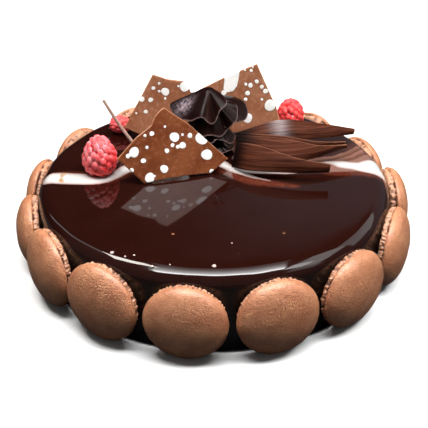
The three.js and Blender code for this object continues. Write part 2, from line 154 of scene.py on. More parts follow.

# The ruffle's frilled petals. Each runs out from the core to a free edge through these stations, as
# (angle, radius, height above the glaze). The first is shown largest, has a finer grid and is the only
# one with a pale painted sheen, round an angle and a share of the way out.
RUFFLE = {
    "at": (-3.5, 34.5),
    "core": [(0, 0), (7.5, 0), (5.5, 12), (4.5, 30), (3.3, 37), (2.6, 39.1), (0, 39.6)],
    "thickness": 1.1,
    "root": 2.5,
    "first_grid": (260, 38),
    "grid": (190, 26),
    "painted_sheen": {"angle": -82, "width": 15, "share": 0.62, "spread": 0.24},
    "petals": [
        {
            "top": 39.2, "droop": 1.02, "pleats": 5, "pleat_depth": 0.75, "pleats_end": 8, "painted_sheen": 1,
            "edge": [
                (-104, 24.4, 26), (-75, 20, 22), (-59, 16.5, 22.8), (-41, 15.2, 23.4), (-27, 15, 25.8),
                (-12, 15, 27.3), (-4, 15, 26), (1, 15.2, 24.6), (9, 15.5, 23.6), (17, 15.3, 24.8),
                (22, 15, 27.4), (28, 15, 31.1), (37, 15.3, 32.9), (47, 15, 34.5), (60, 12, 35.6),
                (72, 8.5, 37), (90, 5.5, 37.5), (130, 3.5, 35), (180, 3, 33), (215, 3.5, 32.5),
                (235, 6, 33), (247, 14, 32), (252, 20, 28.5),
            ],
        },
        {
            "top": 33, "droop": 1.2, "pleats": 7, "pleat_depth": 0.35, "pleats_end": 40,
            "edge": [
                (-75, 14, 15), (-40, 14, 16), (-13.7, 15, 14.9), (-1, 15, 15.6), (11.8, 15, 15.3),
                (23.7, 15, 14), (33.5, 15, 13.9), (42.3, 15, 15.3), (50.8, 15, 16.5), (56, 18, 20.7),
                (67, 18.5, 21.8), (78, 18.2, 24.5), (90, 17, 29), (110, 11, 30), (140, 5.5, 29),
                (180, 5, 27), (220, 5.5, 25), (250, 10, 20),
            ],
        },
        {
            "top": 33, "droop": 1.2, "pleats": 7, "pleat_depth": 0.35, "pleats_end": 40,
            "edge": [
                (50, 14, 18), (68, 18.5, 20.5), (80, 22.5, 20.5), (92, 24.2, 22), (102, 24.4, 24.5),
                (112, 23.4, 27), (124, 20.5, 28.5), (138, 15, 30), (160, 8, 31), (215, 5.2, 30),
                (290, 5.2, 29), (340, 6, 27), (385, 9, 22),
            ],
        },
        {
            "top": 19, "droop": 1.2, "pleats": 11, "pleat_depth": 0.4, "pleats_end": 400,
            "edge": [
                (-70, 12.6, 8.5), (-45, 13.5, 9.6), (-20, 14, 9), (8.8, 15, 10.6), (14.7, 15, 11.4),
                (22, 14.6, 12.1), (35, 14.8, 11), (50, 17.5, 8), (70, 17.5, 9), (105, 15, 9.4),
                (130, 11, 9.4), (160, 9.2, 11), (190, 8.4, 9), (220, 9, 11), (255, 11.4, 9.6),
            ],
        },
        {
            "top": 9.5, "droop": 1.2, "pleats": 11, "pleat_depth": 0.35, "pleats_end": 400,
            "edge": [
                (-60, 11.6, 1.6), (-25, 12.8, 3), (5, 13.6, 1.6), (33, 15.5, 2.6), (50, 17, 3.2),
                (80, 16, 1.6), (120, 12, 3.2), (165, 9.2, 1.8), (210, 9, 3), (255, 11, 1.8),
            ],
        },
    ],
}

# Shavings: the lower and upper long edge of each, from the ruffle out to the tip. Heights are above
# the glaze.
SHAVINGS = {
    "shaving_01": {
        "lower": [(10.5, 7.8, 1), (23, -3, 4.3), (47, -8, 5.9), (67, -8.3, 6.5)],
        "upper": [(13.4, 13, 15), (26.5, 5.6, 16.6), (47.6, -4.6, 14), (67.8, -8.1, 11.6)],
        "belly": 1.2,
    },
    "shaving_02": {
        "lower": [(12.5, 12.2, 2), (36, 4, 5), (58, 9.4, 5.6), (81, 19.6, 8.8)],
        "upper": [(13.4, 17.2, 17.6), (41.2, 15.6, 16.2), (62, 13, 13), (80, 17, 11.2)],
        "belly": 1.0,
    },
    "shaving_03": {
        "lower": [(13, 17.2, 5), (40, 13, 7.5), (62, 14.6, 8), (79, 20.4, 10.4)],
        "upper": [(13.8, 21, 17.2), (41, 18.8, 16.2), (62, 15.6, 14.2), (79.4, 19, 12.2)],
        "belly": 0.6,
    },
    "shaving_04": {
        "lower": [(14.6, 22, 6), (41, 21, 12.2), (62, 20.6, 13.4), (85, 27, 13.4)],
        "upper": [(14.2, 25, 15.5), (39, 30, 21.2), (61, 28.4, 20.2), (86, 28.6, 15.8)],
        "belly": 1.6,
        "painted_sheen": 0.8,
    },
}
SHAVING = {
    "thickness": 1.02, "ridge": 0.16, "set_back": 0.12, "columns": 130, "rows": 46,
    "sheen_at": 24, "sheen_width": 5,
}
# A shaving thins towards its ends and its long sides, as (share of the way in, share of the thickness).
SHAVING_ENDS = [(0, 0.3), (0.0015, 0.6), (0.004, 0.85), (0.012, 1)]
SHAVING_SIDES = [(0, 0.25), (0.008, 0.62), (0.022, 0.85), (0.045, 1)]

# White glaze drawn through the dark, as (x, y, half width) along its middle.
WHITE_RIBBON = [
    (-95.2, -3.7, 6.3), (-86, -4.5, 6.6), (-78, -5.2, 6.3), (-71, -6.3, 5.1), (-65, -5.2, 4.5),
    (-60.2, -2.0, 4.1), (-55.8, 3.0, 4.2), (-51.5, 8.0, 4.4), (-44, 13.5, 4.0), (-36, 16.8, 3.4),
    (-20, 19.5, 3.0), (-4, 19.0, 3.0), (4.6, 14.6, 3.2), (10.2, 7.4, 3.0), (19, 4.6, 2.6),
    (32, 3.4, 2.2), (48, 4.0, 2.2), (60, 10.0, 2.2), (66, 14.0, 2.0), (70.6, 15.1, 2.0),
    (75, 13.6, 3.6), (78, 12.5, 4.7), (83.5, 11.2, 4.7), (89, 9.8, 6.0), (95, 10.2, 8.6),
    (104, 10, 12.0),
]
# A thinner tail that leaves it and fades to brown.
WHITE_TAIL = [
    (5, 11, 2.0), (10.7, 5.9, 2.3), (16.4, 2.3, 2.0), (21.4, -1.3, 1.6), (26.4, -4.1, 1.1), (33, -7, 0.4),
]
# A stain across the ribbon's left end, and where cream has browned into the glaze.
STAIN = [(-88.9, 1.6, 0.9), (-90.0, -1.0, 1.3), (-89.6, -4.0, 0.7), (-89.9, -6.4, 1.5), (-88.8, -8.6, 0.8)]
AMBER_RIBBONS = [
    [(-92, 3.0, 0.2), (-84, 2.8, 0.7), (-76, 2.4, 0.5)],
    [(-63, -9.2, 0.5), (-56, -4.6, 1.4), (-50.5, 2.0, 1.4)],
    [(3, 6.4, 1.0), (9, 1.8, 2.0), (17, -4.8, 3.2), (26, -8.6, 3.6), (36, -10.8, 2.8), (48, -13.6, 1.2)],
    [
        (66, 6.5, 3.2), (70, 4.5, 4.5), (78, 3.5, 4.0), (84, 3.2, 3.2), (89, 1.6, 2.6), (95, -0.6, 1.8),
        (103, -3.4, 1.2),
    ],
]
# The marbled part lies to the right of and behind its corner, and this far edge runs on to the rim.
MARBLE_CORNER = (50, 4)
MARBLE_EDGE = [(50, 18.6), (58, 20.2), (68, 22.6), (76, 26.2), (84, 32.4), (91, 41.0), (97, 52.0)]

# Small beads of glaze, as (x, y, radius), painted pale as a painted glint, and crumbs under it, as
# (x, y, radius, share of orange), with how high each kind rises for its radius.
BEADS = [
    (-53.2, -81.5, 1.1), (-31.7, -93.3, 0.9), (0, -94.2, 1.2), (-46.1, -85.2, 0.6), (-41.5, -84.3, 0.6),
    (-22.5, -92.9, 0.5), (9.5, -73, 0.5),
]
CRUMBS = [(-22.0, -64.3, 1.0, 1.0), (37.6, -63.3, 1.1, 0.45)]
BEAD_RISE = 0.6
CRUMB_RISE = 0.45
# What the glaze's attributes say where a ribbon, stain or swirl is out of reach, in millimetres.
UNREACHED = 9.0

CAMERA = {
    "place": (0.0, -499.76, 332.03),
    "looking_down": 31.84,
    "lens": 81.38,
}

# Soft lights and reflection cards over the cake, in metres. The lights only light the cake and the cards
# only show as reflections; the bright edge of the front cards is what runs round the glazed rim.
LIGHTS = {
    "card_height": 1.05,
    "box_height": 1.10,
    "boxes": {
        "front_strip": {"x": (-0.46, 0.63), "y": (-0.31, -0.12), "radiance": 25},
        "second_strip": {"x": (-0.42, 0.56), "y": (-0.12, 0.0), "radiance": 8},
        "third_strip": {"x": (-0.36, 0.48), "y": (0.0, 0.15), "radiance": 3.5},
        "back_strip": {"x": (-0.28, 0.36), "y": (0.15, 0.45), "radiance": 1.2},
        "left": {"x": (-0.74, -0.33), "y": (0.07, 0.36), "radiance": 20, "tint": (1.0, 0.96, 0.90)},
        "right": {"x": (0.70, 1.20), "y": (-0.15, 0.20), "radiance": 28},
    },
    "cards": {
        "front_card_1": {"x": (-0.50, 0.57), "y": (-0.50, -0.38), "radiance": 24},
        "front_card_2": {"x": (-0.46, 0.54), "y": (-0.38, -0.27), "radiance": 13},
        "front_card_3": {"x": (-0.42, 0.49), "y": (-0.27, -0.15), "radiance": 7.5},
        "front_card_4": {"x": (-0.38, 0.44), "y": (-0.15, -0.03), "radiance": 5},
        "front_card_5": {"x": (-0.32, 0.40), "y": (-0.03, 0.10), "radiance": 3},
        "front_card_6": {"x": (-0.28, 0.36), "y": (0.10, 0.24), "radiance": 1.7},
        "front_card_7": {"x": (-0.24, 0.32), "y": (0.24, 0.50), "radiance": 0.9},
        "left_card": {"x": (-0.77, -0.32), "y": (-0.03, 0.23), "radiance": 20, "tint": (1.0, 0.96, 0.90)},
        "left_tail": {"x": (-3.5, -0.5), "y": (1.00, 1.18), "radiance": 1.2, "turn": -37.6},
        "right_near": {"x": (0.62, 1.02), "y": (-0.62, -0.22), "radiance": 6.5},
        "right_far": {"x": (1.02, 1.60), "y": (-0.65, -0.22), "radiance": 2.6},
        "right_back": {"x": (0.62, 1.50), "y": (-0.22, 0.20), "radiance": 2.3},
        "right_edge": {"x": (1.00, 3.20), "y": (0.20, 1.20), "radiance": 1.2},
        "right_low": {"x": (1.00, 2.20), "y": (-1.20, -0.65), "radiance": 1.2},
    },
}

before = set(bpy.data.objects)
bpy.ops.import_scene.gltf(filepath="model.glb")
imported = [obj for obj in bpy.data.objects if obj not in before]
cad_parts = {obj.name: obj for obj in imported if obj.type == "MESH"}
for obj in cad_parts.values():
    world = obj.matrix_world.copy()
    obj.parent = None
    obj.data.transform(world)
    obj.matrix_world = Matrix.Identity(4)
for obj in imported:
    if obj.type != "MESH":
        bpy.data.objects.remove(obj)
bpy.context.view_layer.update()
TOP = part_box("cake")[1].z / MM


# ---------------------------------------------------------------- numbers and surfaces

def mix(a, b, share):
    return a + (b - a) * share


def smoothstep(low, high, value):
    share = np.clip((np.asarray(value, float) - low) / (high - low), 0, 1)
    return share * share * (3 - 2 * share)


def bell(value, middle, width):
    """1 at the middle, falling off smoothly on both sides."""
    return np.exp(-(((value - middle) / width) ** 2))


def fractal(points, size, octaves=3, offset=0.0):
    """Smooth noise from about -1 to 1 at each point; size is the width of its largest lumps."""
    shift = Vector((offset, 0.37 * offset, -0.71 * offset))
    flat = np.asarray(points, float).reshape(-1, 3) / size
    values = [noise.fractal(Vector(p) + shift, 1.0, 2.0, octaves) for p in flat]
    return np.array(values).reshape(np.asarray(points).shape[:-1])


def spline(points, shares, closed=False):
    """Catmull-Rom curve through the points, at shares from 0 to 1 of the way along."""
    points = np.asarray(points, float)
    if closed:
        padded = np.vstack([points[-1:], points, points[:2]])
        spans = len(points)
    else:
        first = 2 * points[0] - points[1]
        last = 2 * points[-1] - points[-2]
        padded = np.vstack([first, points, last])
        spans = len(points) - 1
    place = np.clip(np.asarray(shares, float), 0, 1) * spans
    index = np.minimum(place.astype(int), spans - 1)
    t = (place - index)[..., None]
    before, start, end, after = (padded[index + k] for k in range(4))
    return 0.5 * (
        2 * start
        + (end - before) * t
        + (2 * before - 5 * start + 4 * end - after) * t**2
        + (3 * start - before - 3 * end + after) * t**3
    )


def around_cake(degrees, radius, height):
    angle = np.radians(degrees)
    return np.stack(np.broadcast_arrays(radius * np.sin(angle), -radius * np.cos(angle), height), -1)


def turned(facing, tilt):
    """A turn by the tilt about X and then by the facing about Z, both in degrees."""
    tilted = Matrix.Rotation(math.radians(tilt), 3, "X")
    return np.array(Matrix.Rotation(math.radians(facing), 3, "Z") @ tilted)


def grid_normals(grid, ring):
    """Unit normals of a grid of points, pointing to the side where its columns turn onto its rows."""
    if ring:
        along = np.roll(grid, -1, 0) - np.roll(grid, 1, 0)
    else:
        along = np.gradient(grid, axis=0)
    across = np.gradient(grid, axis=1)
    normals = np.cross(along, across)
    return normals / np.maximum(np.linalg.norm(normals, axis=-1, keepdims=True), 1e-9)


def grid_faces(columns, rows, start=0, ring=False, flip=False):
    """Four-sided faces over a grid whose points are numbered column by column."""
    spans = columns if ring else columns - 1
    i, j = np.meshgrid(np.arange(spans), np.arange(rows - 1), indexing="ij")
    after = (i + 1) % columns
    corners = [i * rows + j, after * rows + j, after * rows + j + 1, i * rows + j + 1]
    faces = start + np.stack([c.ravel() for c in corners], -1)
    return faces[:, ::-1] if flip else faces


def thick_sheet(grid, thickness, ring=False):
    """A closed sheet about a grid of points, with the thickness at each point."""
    columns, rows = grid.shape[:2]
    half = 0.5 * np.broadcast_to(thickness, (columns, rows))[..., None]
    normals = grid_normals(grid, ring)
    front = (grid + normals * half).reshape(-1, 3)
    back = (grid - normals * half).reshape(-1, 3)
    count = columns * rows
    faces = [grid_faces(columns, rows, 0, ring), grid_faces(columns, rows, count, ring, flip=True)]
    order = np.arange(columns) * rows
    borders = [order, order + rows - 1]
    loops = [np.append(b, b[0]) if ring else b for b in borders]
    if not ring:
        loops += [np.arange(rows), (columns - 1) * rows + np.arange(rows)]
    for loop in loops:
        faces.append(np.stack([loop[:-1], loop[1:], loop[1:] + count, loop[:-1] + count], -1))
    return np.vstack([front, back]), np.vstack(faces)


def border_spacing(rows, fine):
    """Rows from 0 to 1, the last few drawn close to the free edge at 1."""
    return np.concatenate([np.linspace(0, 1 - 4 * fine, rows - 3), 1 - np.array([2.0, 0.8, 0.0]) * fine])


def rim_spacing(count, thinning):
    """Shares from 0 to 1: those of the thinning from each end, and even ones between."""
    rim = np.array([share for share, _ in thinning])
    between = np.linspace(rim[-1], 1 - rim[-1], count - 2 * len(rim) + 2)
    return np.concatenate([rim[:-1], between, 1 - rim[-2::-1]])


def thinned(shares, thinning):
    return np.interp(np.minimum(shares, 1 - shares), *zip(*thinning))


def both_faces(layers):
    """Values on a sheet's grid, given to each of its two faces."""
    return {key: np.tile(layer.ravel(), 2) for key, layer in layers.items()}


def lathe(profile, sides):
    """Points and faces of a closed turned shape. The profile runs (radius, height) from axis to axis."""
    angles = np.linspace(0, 2 * np.pi, sides, endpoint=False)
    ring = np.array(profile[1:-1])
    points = np.stack([
        np.outer(np.cos(angles), ring[:, 0]),
        np.outer(np.sin(angles), ring[:, 0]),
        np.tile(ring[:, 1], (sides, 1)),
    ], -1)
    rows = len(ring)
    faces = grid_faces(sides, rows, 0, ring=True).tolist()
    low, high = sides * rows, sides * rows + 1
    for i in range(sides):
        after = (i + 1) % sides
        faces.append([low, after * rows, i * rows])
        faces.append([high, i * rows + rows - 1, after * rows + rows - 1])
    ends = [(0, 0, profile[0][1]), (0, 0, profile[-1][1])]
    return np.vstack([points.reshape(-1, 3), ends]), faces


def from_segment(x, y, start, end):
    """Share of the way along a segment where it is nearest, and the steps in x and y away from there."""
    along = end[:2] - start[:2]
    share = np.clip(((x - start[0]) * along[0] + (y - start[1]) * along[1]) / (along @ along), 0, 1)
    return share, x - start[0] - share * along[0], y - start[1] - share * along[1]


def segments(stations, steps=8):
    """The short straight pieces of a smooth line through the stations."""
    line = spline(stations, np.linspace(0, 1, steps * (len(stations) - 1) + 1))
    return zip(line[:-1], line[1:])


def ribbon_distance(x, y, stations):
    """Distance outside the edge of a ribbon of changing width, less than zero inside it."""
    best = np.full(np.shape(x), np.inf)
    for start, end in segments(stations):
        share, away_x, away_y = from_segment(x, y, start, end)
        best = np.minimum(best, np.hypot(away_x, away_y) - mix(start[2], end[2], share))
    return best


def side_distance(x, y, stations):
    """Distance from a line, positive on the right of its direction."""
    best = np.full(np.shape(x), np.inf)
    signed = np.zeros(np.shape(x))
    for start, end in segments(stations):
        _, away_x, away_y = from_segment(x, y, start, end)
        gap = np.hypot(away_x, away_y)
        side = np.sign(away_x * (end[1] - start[1]) - away_y * (end[0] - start[0]))
        nearer = gap < best
        best = np.where(nearer, gap, best)
        signed = np.where(nearer, gap * side, signed)
    return signed


def polygon_distance(points, polygon):
    """Distance outside a polygon, less than zero inside."""
    x, y = points[:, 0], points[:, 1]
    best = np.full(len(points), np.inf)
    inside = np.zeros(len(points), bool)
    for start, end in zip(polygon, np.roll(polygon, -1, 0)):
        _, away_x, away_y = from_segment(x, y, start, end)
        best = np.minimum(best, np.hypot(away_x, away_y))
        crosses = (start[1] > y) != (end[1] > y)
        climb = (end[1] - start[1]) or 1e-9
        meets = start[0] + (y - start[1]) * (end[0] - start[0]) / climb
        inside ^= crosses & (x < meets)
    return np.where(inside, -best, best)


# ---------------------------------------------------------------- pieces

def add_object(name, data):
    made = bpy.data.objects.new(name, data)
    bpy.context.scene.collection.objects.link(made)
    return made


def make_piece(name, points, faces, material, nodes, attributes=None, crease=None):
    """A smooth-shaded mesh that stands for CAD nodes and rides with the cake."""
    mesh = bpy.data.meshes.new(name)
    vertices = (np.asarray(points, float) * MM).tolist()
    mesh.from_pydata(vertices, [], [list(f) for f in faces])
    edit = bmesh.new()
    edit.from_mesh(mesh)
    bmesh.ops.recalc_face_normals(edit, faces=edit.faces)
    edit.to_mesh(mesh)
    edit.free()
    mesh.polygons.foreach_set("use_smooth", [True] * len(mesh.polygons))
    if crease:
        mesh.set_sharp_from_angle(angle=math.radians(crease))
    for key, values in (attributes or {}).items():
        layer = mesh.attributes.new(key, "FLOAT", "POINT")
        layer.data.foreach_set("value", np.asarray(values, np.float32).ravel())
    mesh.materials.append(material)
    piece = add_object(name, mesh)
    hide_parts(*nodes)
    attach(piece, "root")
    return piece


def join_parts(parts):
    """One list of points and one of faces from several, with each attribute joined the same way."""
    points, faces, attributes = [], [], {}
    start = 0
    for part_points, part_faces, part_attributes in parts:
        points.append(part_points)
        faces.extend([[start + k for k in face] for face in part_faces])
        start += len(part_points)
        for key, values in part_attributes.items():
            attributes.setdefault(key, []).append(np.asarray(values, float).ravel())
    joined = {key: np.concatenate(values) for key, values in attributes.items()}
    return np.vstack(points), faces, joined


# ---------------------------------------------------------------- shader building

class Nodes:
    """Adds nodes to a tree. Values may be numbers, colours or the outputs of other nodes."""

    def __init__(self, tree):
        self.tree = tree

    def put(self, socket, value):
        if isinstance(value, bpy.types.NodeSocket):
            self.tree.links.new(value, socket)
        elif isinstance(value, tuple) and len(value) == 3 and len(socket.default_value) == 4:
            socket.default_value = (*value, 1.0)
        else:
            socket.default_value = value

    def node(self, kind, inputs=None, **settings):
        node = self.tree.nodes.new("ShaderNode" + kind)
        for key, value in settings.items():
            setattr(node, key, value)
        for key, value in (inputs or {}).items():
            self.put(node.inputs[key], value)
        return node

    def math(self, operation, a, b=0.0, c=0.0):
        return self.node("Math", {0: a, 1: b, 2: c}, operation=operation).outputs[0]

    def times(self, a, b):
        return self.math("MULTIPLY", a, b)

    def plus(self, a, b):
        return self.math("ADD", a, b)

    def blend(self, share, a, b):
        return self.node("Mix", {0: share, 6: a, 7: b}, data_type="RGBA").outputs[2]

    def step(self, value, low, high, start=0.0, end=1.0):
        inputs = {"Value": value, "From Min": low, "From Max": high, "To Min": start, "To Max": end}
        return self.node("MapRange", inputs, interpolation_type="SMOOTHSTEP").outputs["Result"]

    def ramp(self, value, stops):
        node = self.node("ValToRGB", {0: value})
        elements = node.color_ramp.elements
        while len(elements) < len(stops):
            elements.new(0.5)
        for element, (place, colour) in zip(elements, stops):
            element.position = place
            element.color = (*colour, 1.0)
        return node.outputs["Color"]


class Shader(Nodes):
    """The nodes of one new material."""

    def __init__(self, name):
        self.material = bpy.data.materials.new(name)
        self.material.use_nodes = True
        super().__init__(self.material.node_tree)
        self.surface = self.tree.nodes["Principled BSDF"]

    def attribute(self, name):
        return self.node("Attribute", attribute_name=name).outputs["Fac"]

    def place(self, stretch=(1, 1, 1)):
        """The point on the piece in millimetres, stretched along the axes for streaky textures."""
        where = self.node("TexCoord").outputs["Object"]
        scale = tuple(s / MM for s in stretch)
        return self.node("VectorMath", {0: where, 1: scale}, operation="MULTIPLY").outputs[0]

    def noise(self, size, detail=3.0, roughness=0.5, where=None):
        inputs = {
            "Vector": where or self.place(), "Scale": 1.0 / size, "Detail": detail, "Roughness": roughness,
        }
        return self.node("TexNoise", inputs).outputs[0]

    def waver(self, size, detail, reach):
        """Noise that swings about zero."""
        return self.times(self.math("SUBTRACT", self.noise(size, detail), 0.5), reach)

    def cells(self, size):
        """Distance to the nearest of scattered points, and that point's own three random numbers."""
        cells = self.node("TexVoronoi", {"Vector": self.place(), "Scale": 1.0 / size})
        return cells.outputs["Distance"], self.node("SeparateColor", {0: cells.outputs["Color"]}).outputs

    def bump(self, height, depth, before=None):
        inputs = {"Height": height, "Distance": depth * MM, "Strength": 1.0}
        if before is not None:
            inputs["Normal"] = before
        return self.node("Bump", inputs).outputs[0]

    def finish(self, **inputs):
        """Sets the surface's own sockets, with spaces in their names written as underscores."""
        for key, value in inputs.items():
            self.put(self.surface.inputs[key.replace("_", " ")], value)
        return self.material


# ---------------------------------------------------------------- materials

def glaze_material():
    s = Shader("mirror_glaze")
    drift = s.noise(26.0, 2.0)
    dark = s.blend(drift, (0.0115, 0.0018, 0.0008), (0.0170, 0.0040, 0.0028))
    wander = s.plus(s.waver(5.0, 3.0, 2.2), s.waver(1.6, 2.0, 0.8))

    amber_gap = s.plus(s.attribute("amber"), s.times(wander, 1.2))
    amber_share = s.step(amber_gap, 2.3, -1.8)
    amber_tone = s.blend(s.noise(3.2, 2.0), (0.105, 0.024, 0.013), (0.045, 0.008, 0.004))
    colour = s.blend(amber_share, dark, amber_tone)

    swirl = s.plus(s.attribute("marble"), s.times(wander, 0.9))
    colour = s.blend(s.step(swirl, -6.5, -1.0), colour, (0.050, 0.014, 0.010))
    swirl_tone = s.ramp(s.math("DIVIDE", swirl, 22.0), [
        (0.00, (0.06, 0.020, 0.014)), (0.06, (0.18, 0.085, 0.058)), (0.14, (0.15, 0.065, 0.042)),
        (0.22, (0.09, 0.030, 0.016)), (0.30, (0.22, 0.100, 0.075)), (0.37, (0.15, 0.060, 0.040)),
        (0.46, (0.09, 0.034, 0.020)), (0.55, (0.20, 0.095, 0.070)), (0.75, (0.17, 0.085, 0.065)),
    ])
    colour = s.blend(s.step(swirl, 0.0, 1.4), colour, swirl_tone)

    white_gap = s.plus(s.attribute("white"), s.times(wander, 0.30))
    white_tone = s.ramp(s.math("MULTIPLY_ADD", white_gap, 0.25, 0.875), [
        (0.00, (0.54, 0.54, 0.52)), (0.375, (0.47, 0.44, 0.42)), (0.625, (0.40, 0.31, 0.29)),
        (0.875, (0.26, 0.16, 0.14)), (1.00, (0.12, 0.05, 0.04)),
    ])
    colour = s.blend(s.step(white_gap, 0.5, -0.35), colour, white_tone)
    stain = s.step(s.plus(s.attribute("stain"), s.times(wander, 0.7)), 0.8, -0.9)
    colour = s.blend(stain, colour, (0.38, 0.21, 0.08))
    colour = s.blend(s.attribute("crumb"), colour, (0.17, 0.050, 0.012))
    # Beads of glaze are painted pale: a painted glint on each bead.
    colour = s.blend(s.attribute("bead"), colour, (0.55, 0.44, 0.40))
    # The glaze's side below the rim is painted near black as painted shade, and it is made rougher too.
    side = s.attribute("side")
    colour = s.blend(side, colour, (0.0030, 0.0006, 0.0005))

    bubble, chance = s.cells(7.0)
    dome = s.times(s.step(bubble, 0.050, 0.018), s.math("GREATER_THAN", chance[0], 0.72))
    waves = s.bump(s.noise(30.0, 1.0), 0.10)
    ripple = s.bump(s.noise(4.0, 2.0), 0.006, before=waves)
    skin = s.bump(dome, 0.10, before=ripple)
    gloss = s.step(s.noise(9.0, 2.0), 0.3, 0.7, 0.035, 0.075)
    rough = s.plus(gloss, s.times(side, 0.22))
    return s.finish(Base_Color=colour, Roughness=rough, Normal=skin, IOR=1.5)


def macaron_material():
    s = Shader("macaron_shell")
    streaks = s.noise(1.7, 4.0, 0.62, s.place((0.55, 0.55, 1.5)))
    cloud = s.noise(8.0, 3.0)
    grain = s.noise(0.85, 4.0, 0.68)
    tone = s.blend(s.step(cloud, 0.3, 0.7), (0.480, 0.175, 0.074), (0.605, 0.260, 0.122))
    tone = s.blend(s.step(streaks, 0.56, 0.80), tone, (0.74, 0.38, 0.210))
    tone = s.blend(s.step(streaks, 0.44, 0.22), tone, (0.350, 0.105, 0.045))
    tone = s.blend(s.times(s.step(grain, 0.50, 0.30), 0.75), tone, (0.300, 0.090, 0.040))
    spot, chance = s.cells(1.5)
    dent = s.times(s.step(spot, 0.26, 0.08), s.math("GREATER_THAN", chance[1], 0.72))
    pimple = s.times(s.step(spot, 0.34, 0.05), s.math("LESS_THAN", chance[1], 0.26))
    # Dents are painted darker too: painted shade in each dent.
    tone = s.blend(s.times(dent, 0.5), tone, (0.24, 0.075, 0.035))
    tone = s.blend(s.times(s.attribute("frill"), 0.5), tone, (0.640, 0.330, 0.200))
    # Gaps in the foot and between its teeth are painted near black: painted shade.
    tone = s.blend(s.attribute("pit"), tone, (0.050, 0.013, 0.006))
    rough = s.bump(streaks, 0.42)
    rough = s.bump(grain, 0.60, before=rough)
    rough = s.bump(s.math("SUBTRACT", pimple, dent), 0.42, before=rough)
    return s.finish(
        Base_Color=tone, Roughness=s.step(grain, 0.2, 0.8, 0.58, 0.42), Normal=rough,
        Specular_IOR_Level=0.4, Coat_Weight=0.85, Coat_Roughness=0.38, Coat_IOR=1.5,
    )


def raspberry_material():
    s = Shader("raspberry_flesh")
    crown = s.attribute("crown")
    # Darker red low between the drupelets: painted shade in the creases.
    tone = s.ramp(crown, [
        (0.00, (0.46, 0.008, 0.012)), (0.22, (0.74, 0.024, 0.028)), (0.55, (0.82, 0.045, 0.048)),
        (1.00, (0.86, 0.075, 0.075)),
    ])
    # Pale rims on the drupelets, on the side towards the lights only: a painted sheen.
    rim = s.times(s.step(crown, 0.10, 0.40), s.step(crown, 1.0, 0.62, 0.35, 1.0))
    rim_sheen = s.times(rim, s.step(s.noise(5.0, 3.0), 0.34, 0.62, 0.35, 1.0))
    tone = s.blend(s.times(rim_sheen, s.attribute("rim_sheen")), tone, (0.84, 0.36, 0.40))
    down = s.bump(s.noise(0.28, 2.0), 0.04)
    return s.finish(
        Base_Color=tone, Roughness=s.step(crown, 0.0, 1.0, 0.30, 0.50), Normal=down, Subsurface_Weight=0.7,
        Subsurface_Radius=(3.0 * MM, 0.5 * MM, 0.4 * MM), Subsurface_Scale=1.0, Sheen_Weight=0.10,
        Sheen_Roughness=0.4, Sheen_Tint=(1.0, 0.75, 0.78),
    )


def drop_colours(s, cocoa):
    """White drops over the cocoa colour, with a thin darker line where each ends, and how far they rise."""
    gap = s.plus(s.attribute("drop"), s.waver(0.9, 2.0, 0.22))
    halo = s.times(s.step(gap, 0.75, 0.10), 0.45)
    colour = s.blend(halo, cocoa, (0.090, 0.026, 0.010))
    return s.blend(s.step(gap, 0.12, -0.12), colour, (0.99, 0.97, 0.93)), s.step(gap, 0.25, -0.35)


def plaque_material(name, low, high):
    s = Shader(name)
    mottle = s.noise(2.6, 4.0, 0.62)
    cloud = s.noise(14.0, 2.0)
    cocoa = s.blend(s.step(cloud, 0.30, 0.70), low, high)
    pale, dark = tuple(1.7 * c for c in high), tuple(0.55 * c for c in low)
    cocoa = s.blend(s.times(s.step(mottle, 0.50, 0.75), 0.22), cocoa, pale)
    cocoa = s.blend(s.times(s.step(mottle, 0.45, 0.25), 0.25), cocoa, dark)
    # The edges are painted lighter: a painted highlight where they catch the light.
    cocoa = s.blend(s.times(s.attribute("edge"), 0.75), cocoa, (0.50, 0.24, 0.12))
    colour, raised = drop_colours(s, cocoa)
    skin = s.bump(s.noise(1.1, 3.0), 0.03)
    skin = s.bump(raised, 0.05, before=skin)
    return s.finish(Base_Color=colour, Roughness=s.step(mottle, 0.3, 0.7, 0.20, 0.30), Normal=skin)


def ruffle_material():
    s = Shader("dark_ruffle")
    cloud = s.noise(6.0, 3.0)
    tone = s.blend(cloud, (0.0040, 0.0011, 0.0008), (0.0120, 0.0036, 0.0026))
    # Lighter on the pleats' crests: a painted highlight.
    tone = s.blend(s.times(s.attribute("crest_highlight"), 0.5), tone, (0.024, 0.008, 0.006))
    # A pale line along each free edge: a painted highlight.
    edge = s.times(s.attribute("edge"), s.step(s.noise(2.2, 2.0), 0.25, 0.60, 0.45, 1.0))
    # A pale violet patch on the first petal: a painted sheen.
    painted_sheen = s.times(s.attribute("painted_sheen"), s.step(s.noise(2.0, 4.0, 0.6), 0.36, 0.62, 0.12, 1.0))
    tone = s.blend(painted_sheen, tone, (0.340, 0.260, 0.290))
    tone = s.blend(edge, tone, (0.34, 0.22, 0.20))
    skin = s.bump(s.noise(1.4, 3.0), 0.05)
    rough = s.step(cloud, 0.3, 0.7, 0.16, 0.26)
    return s.finish(Base_Color=tone, Roughness=rough, Normal=skin, Specular_IOR_Level=0.09)


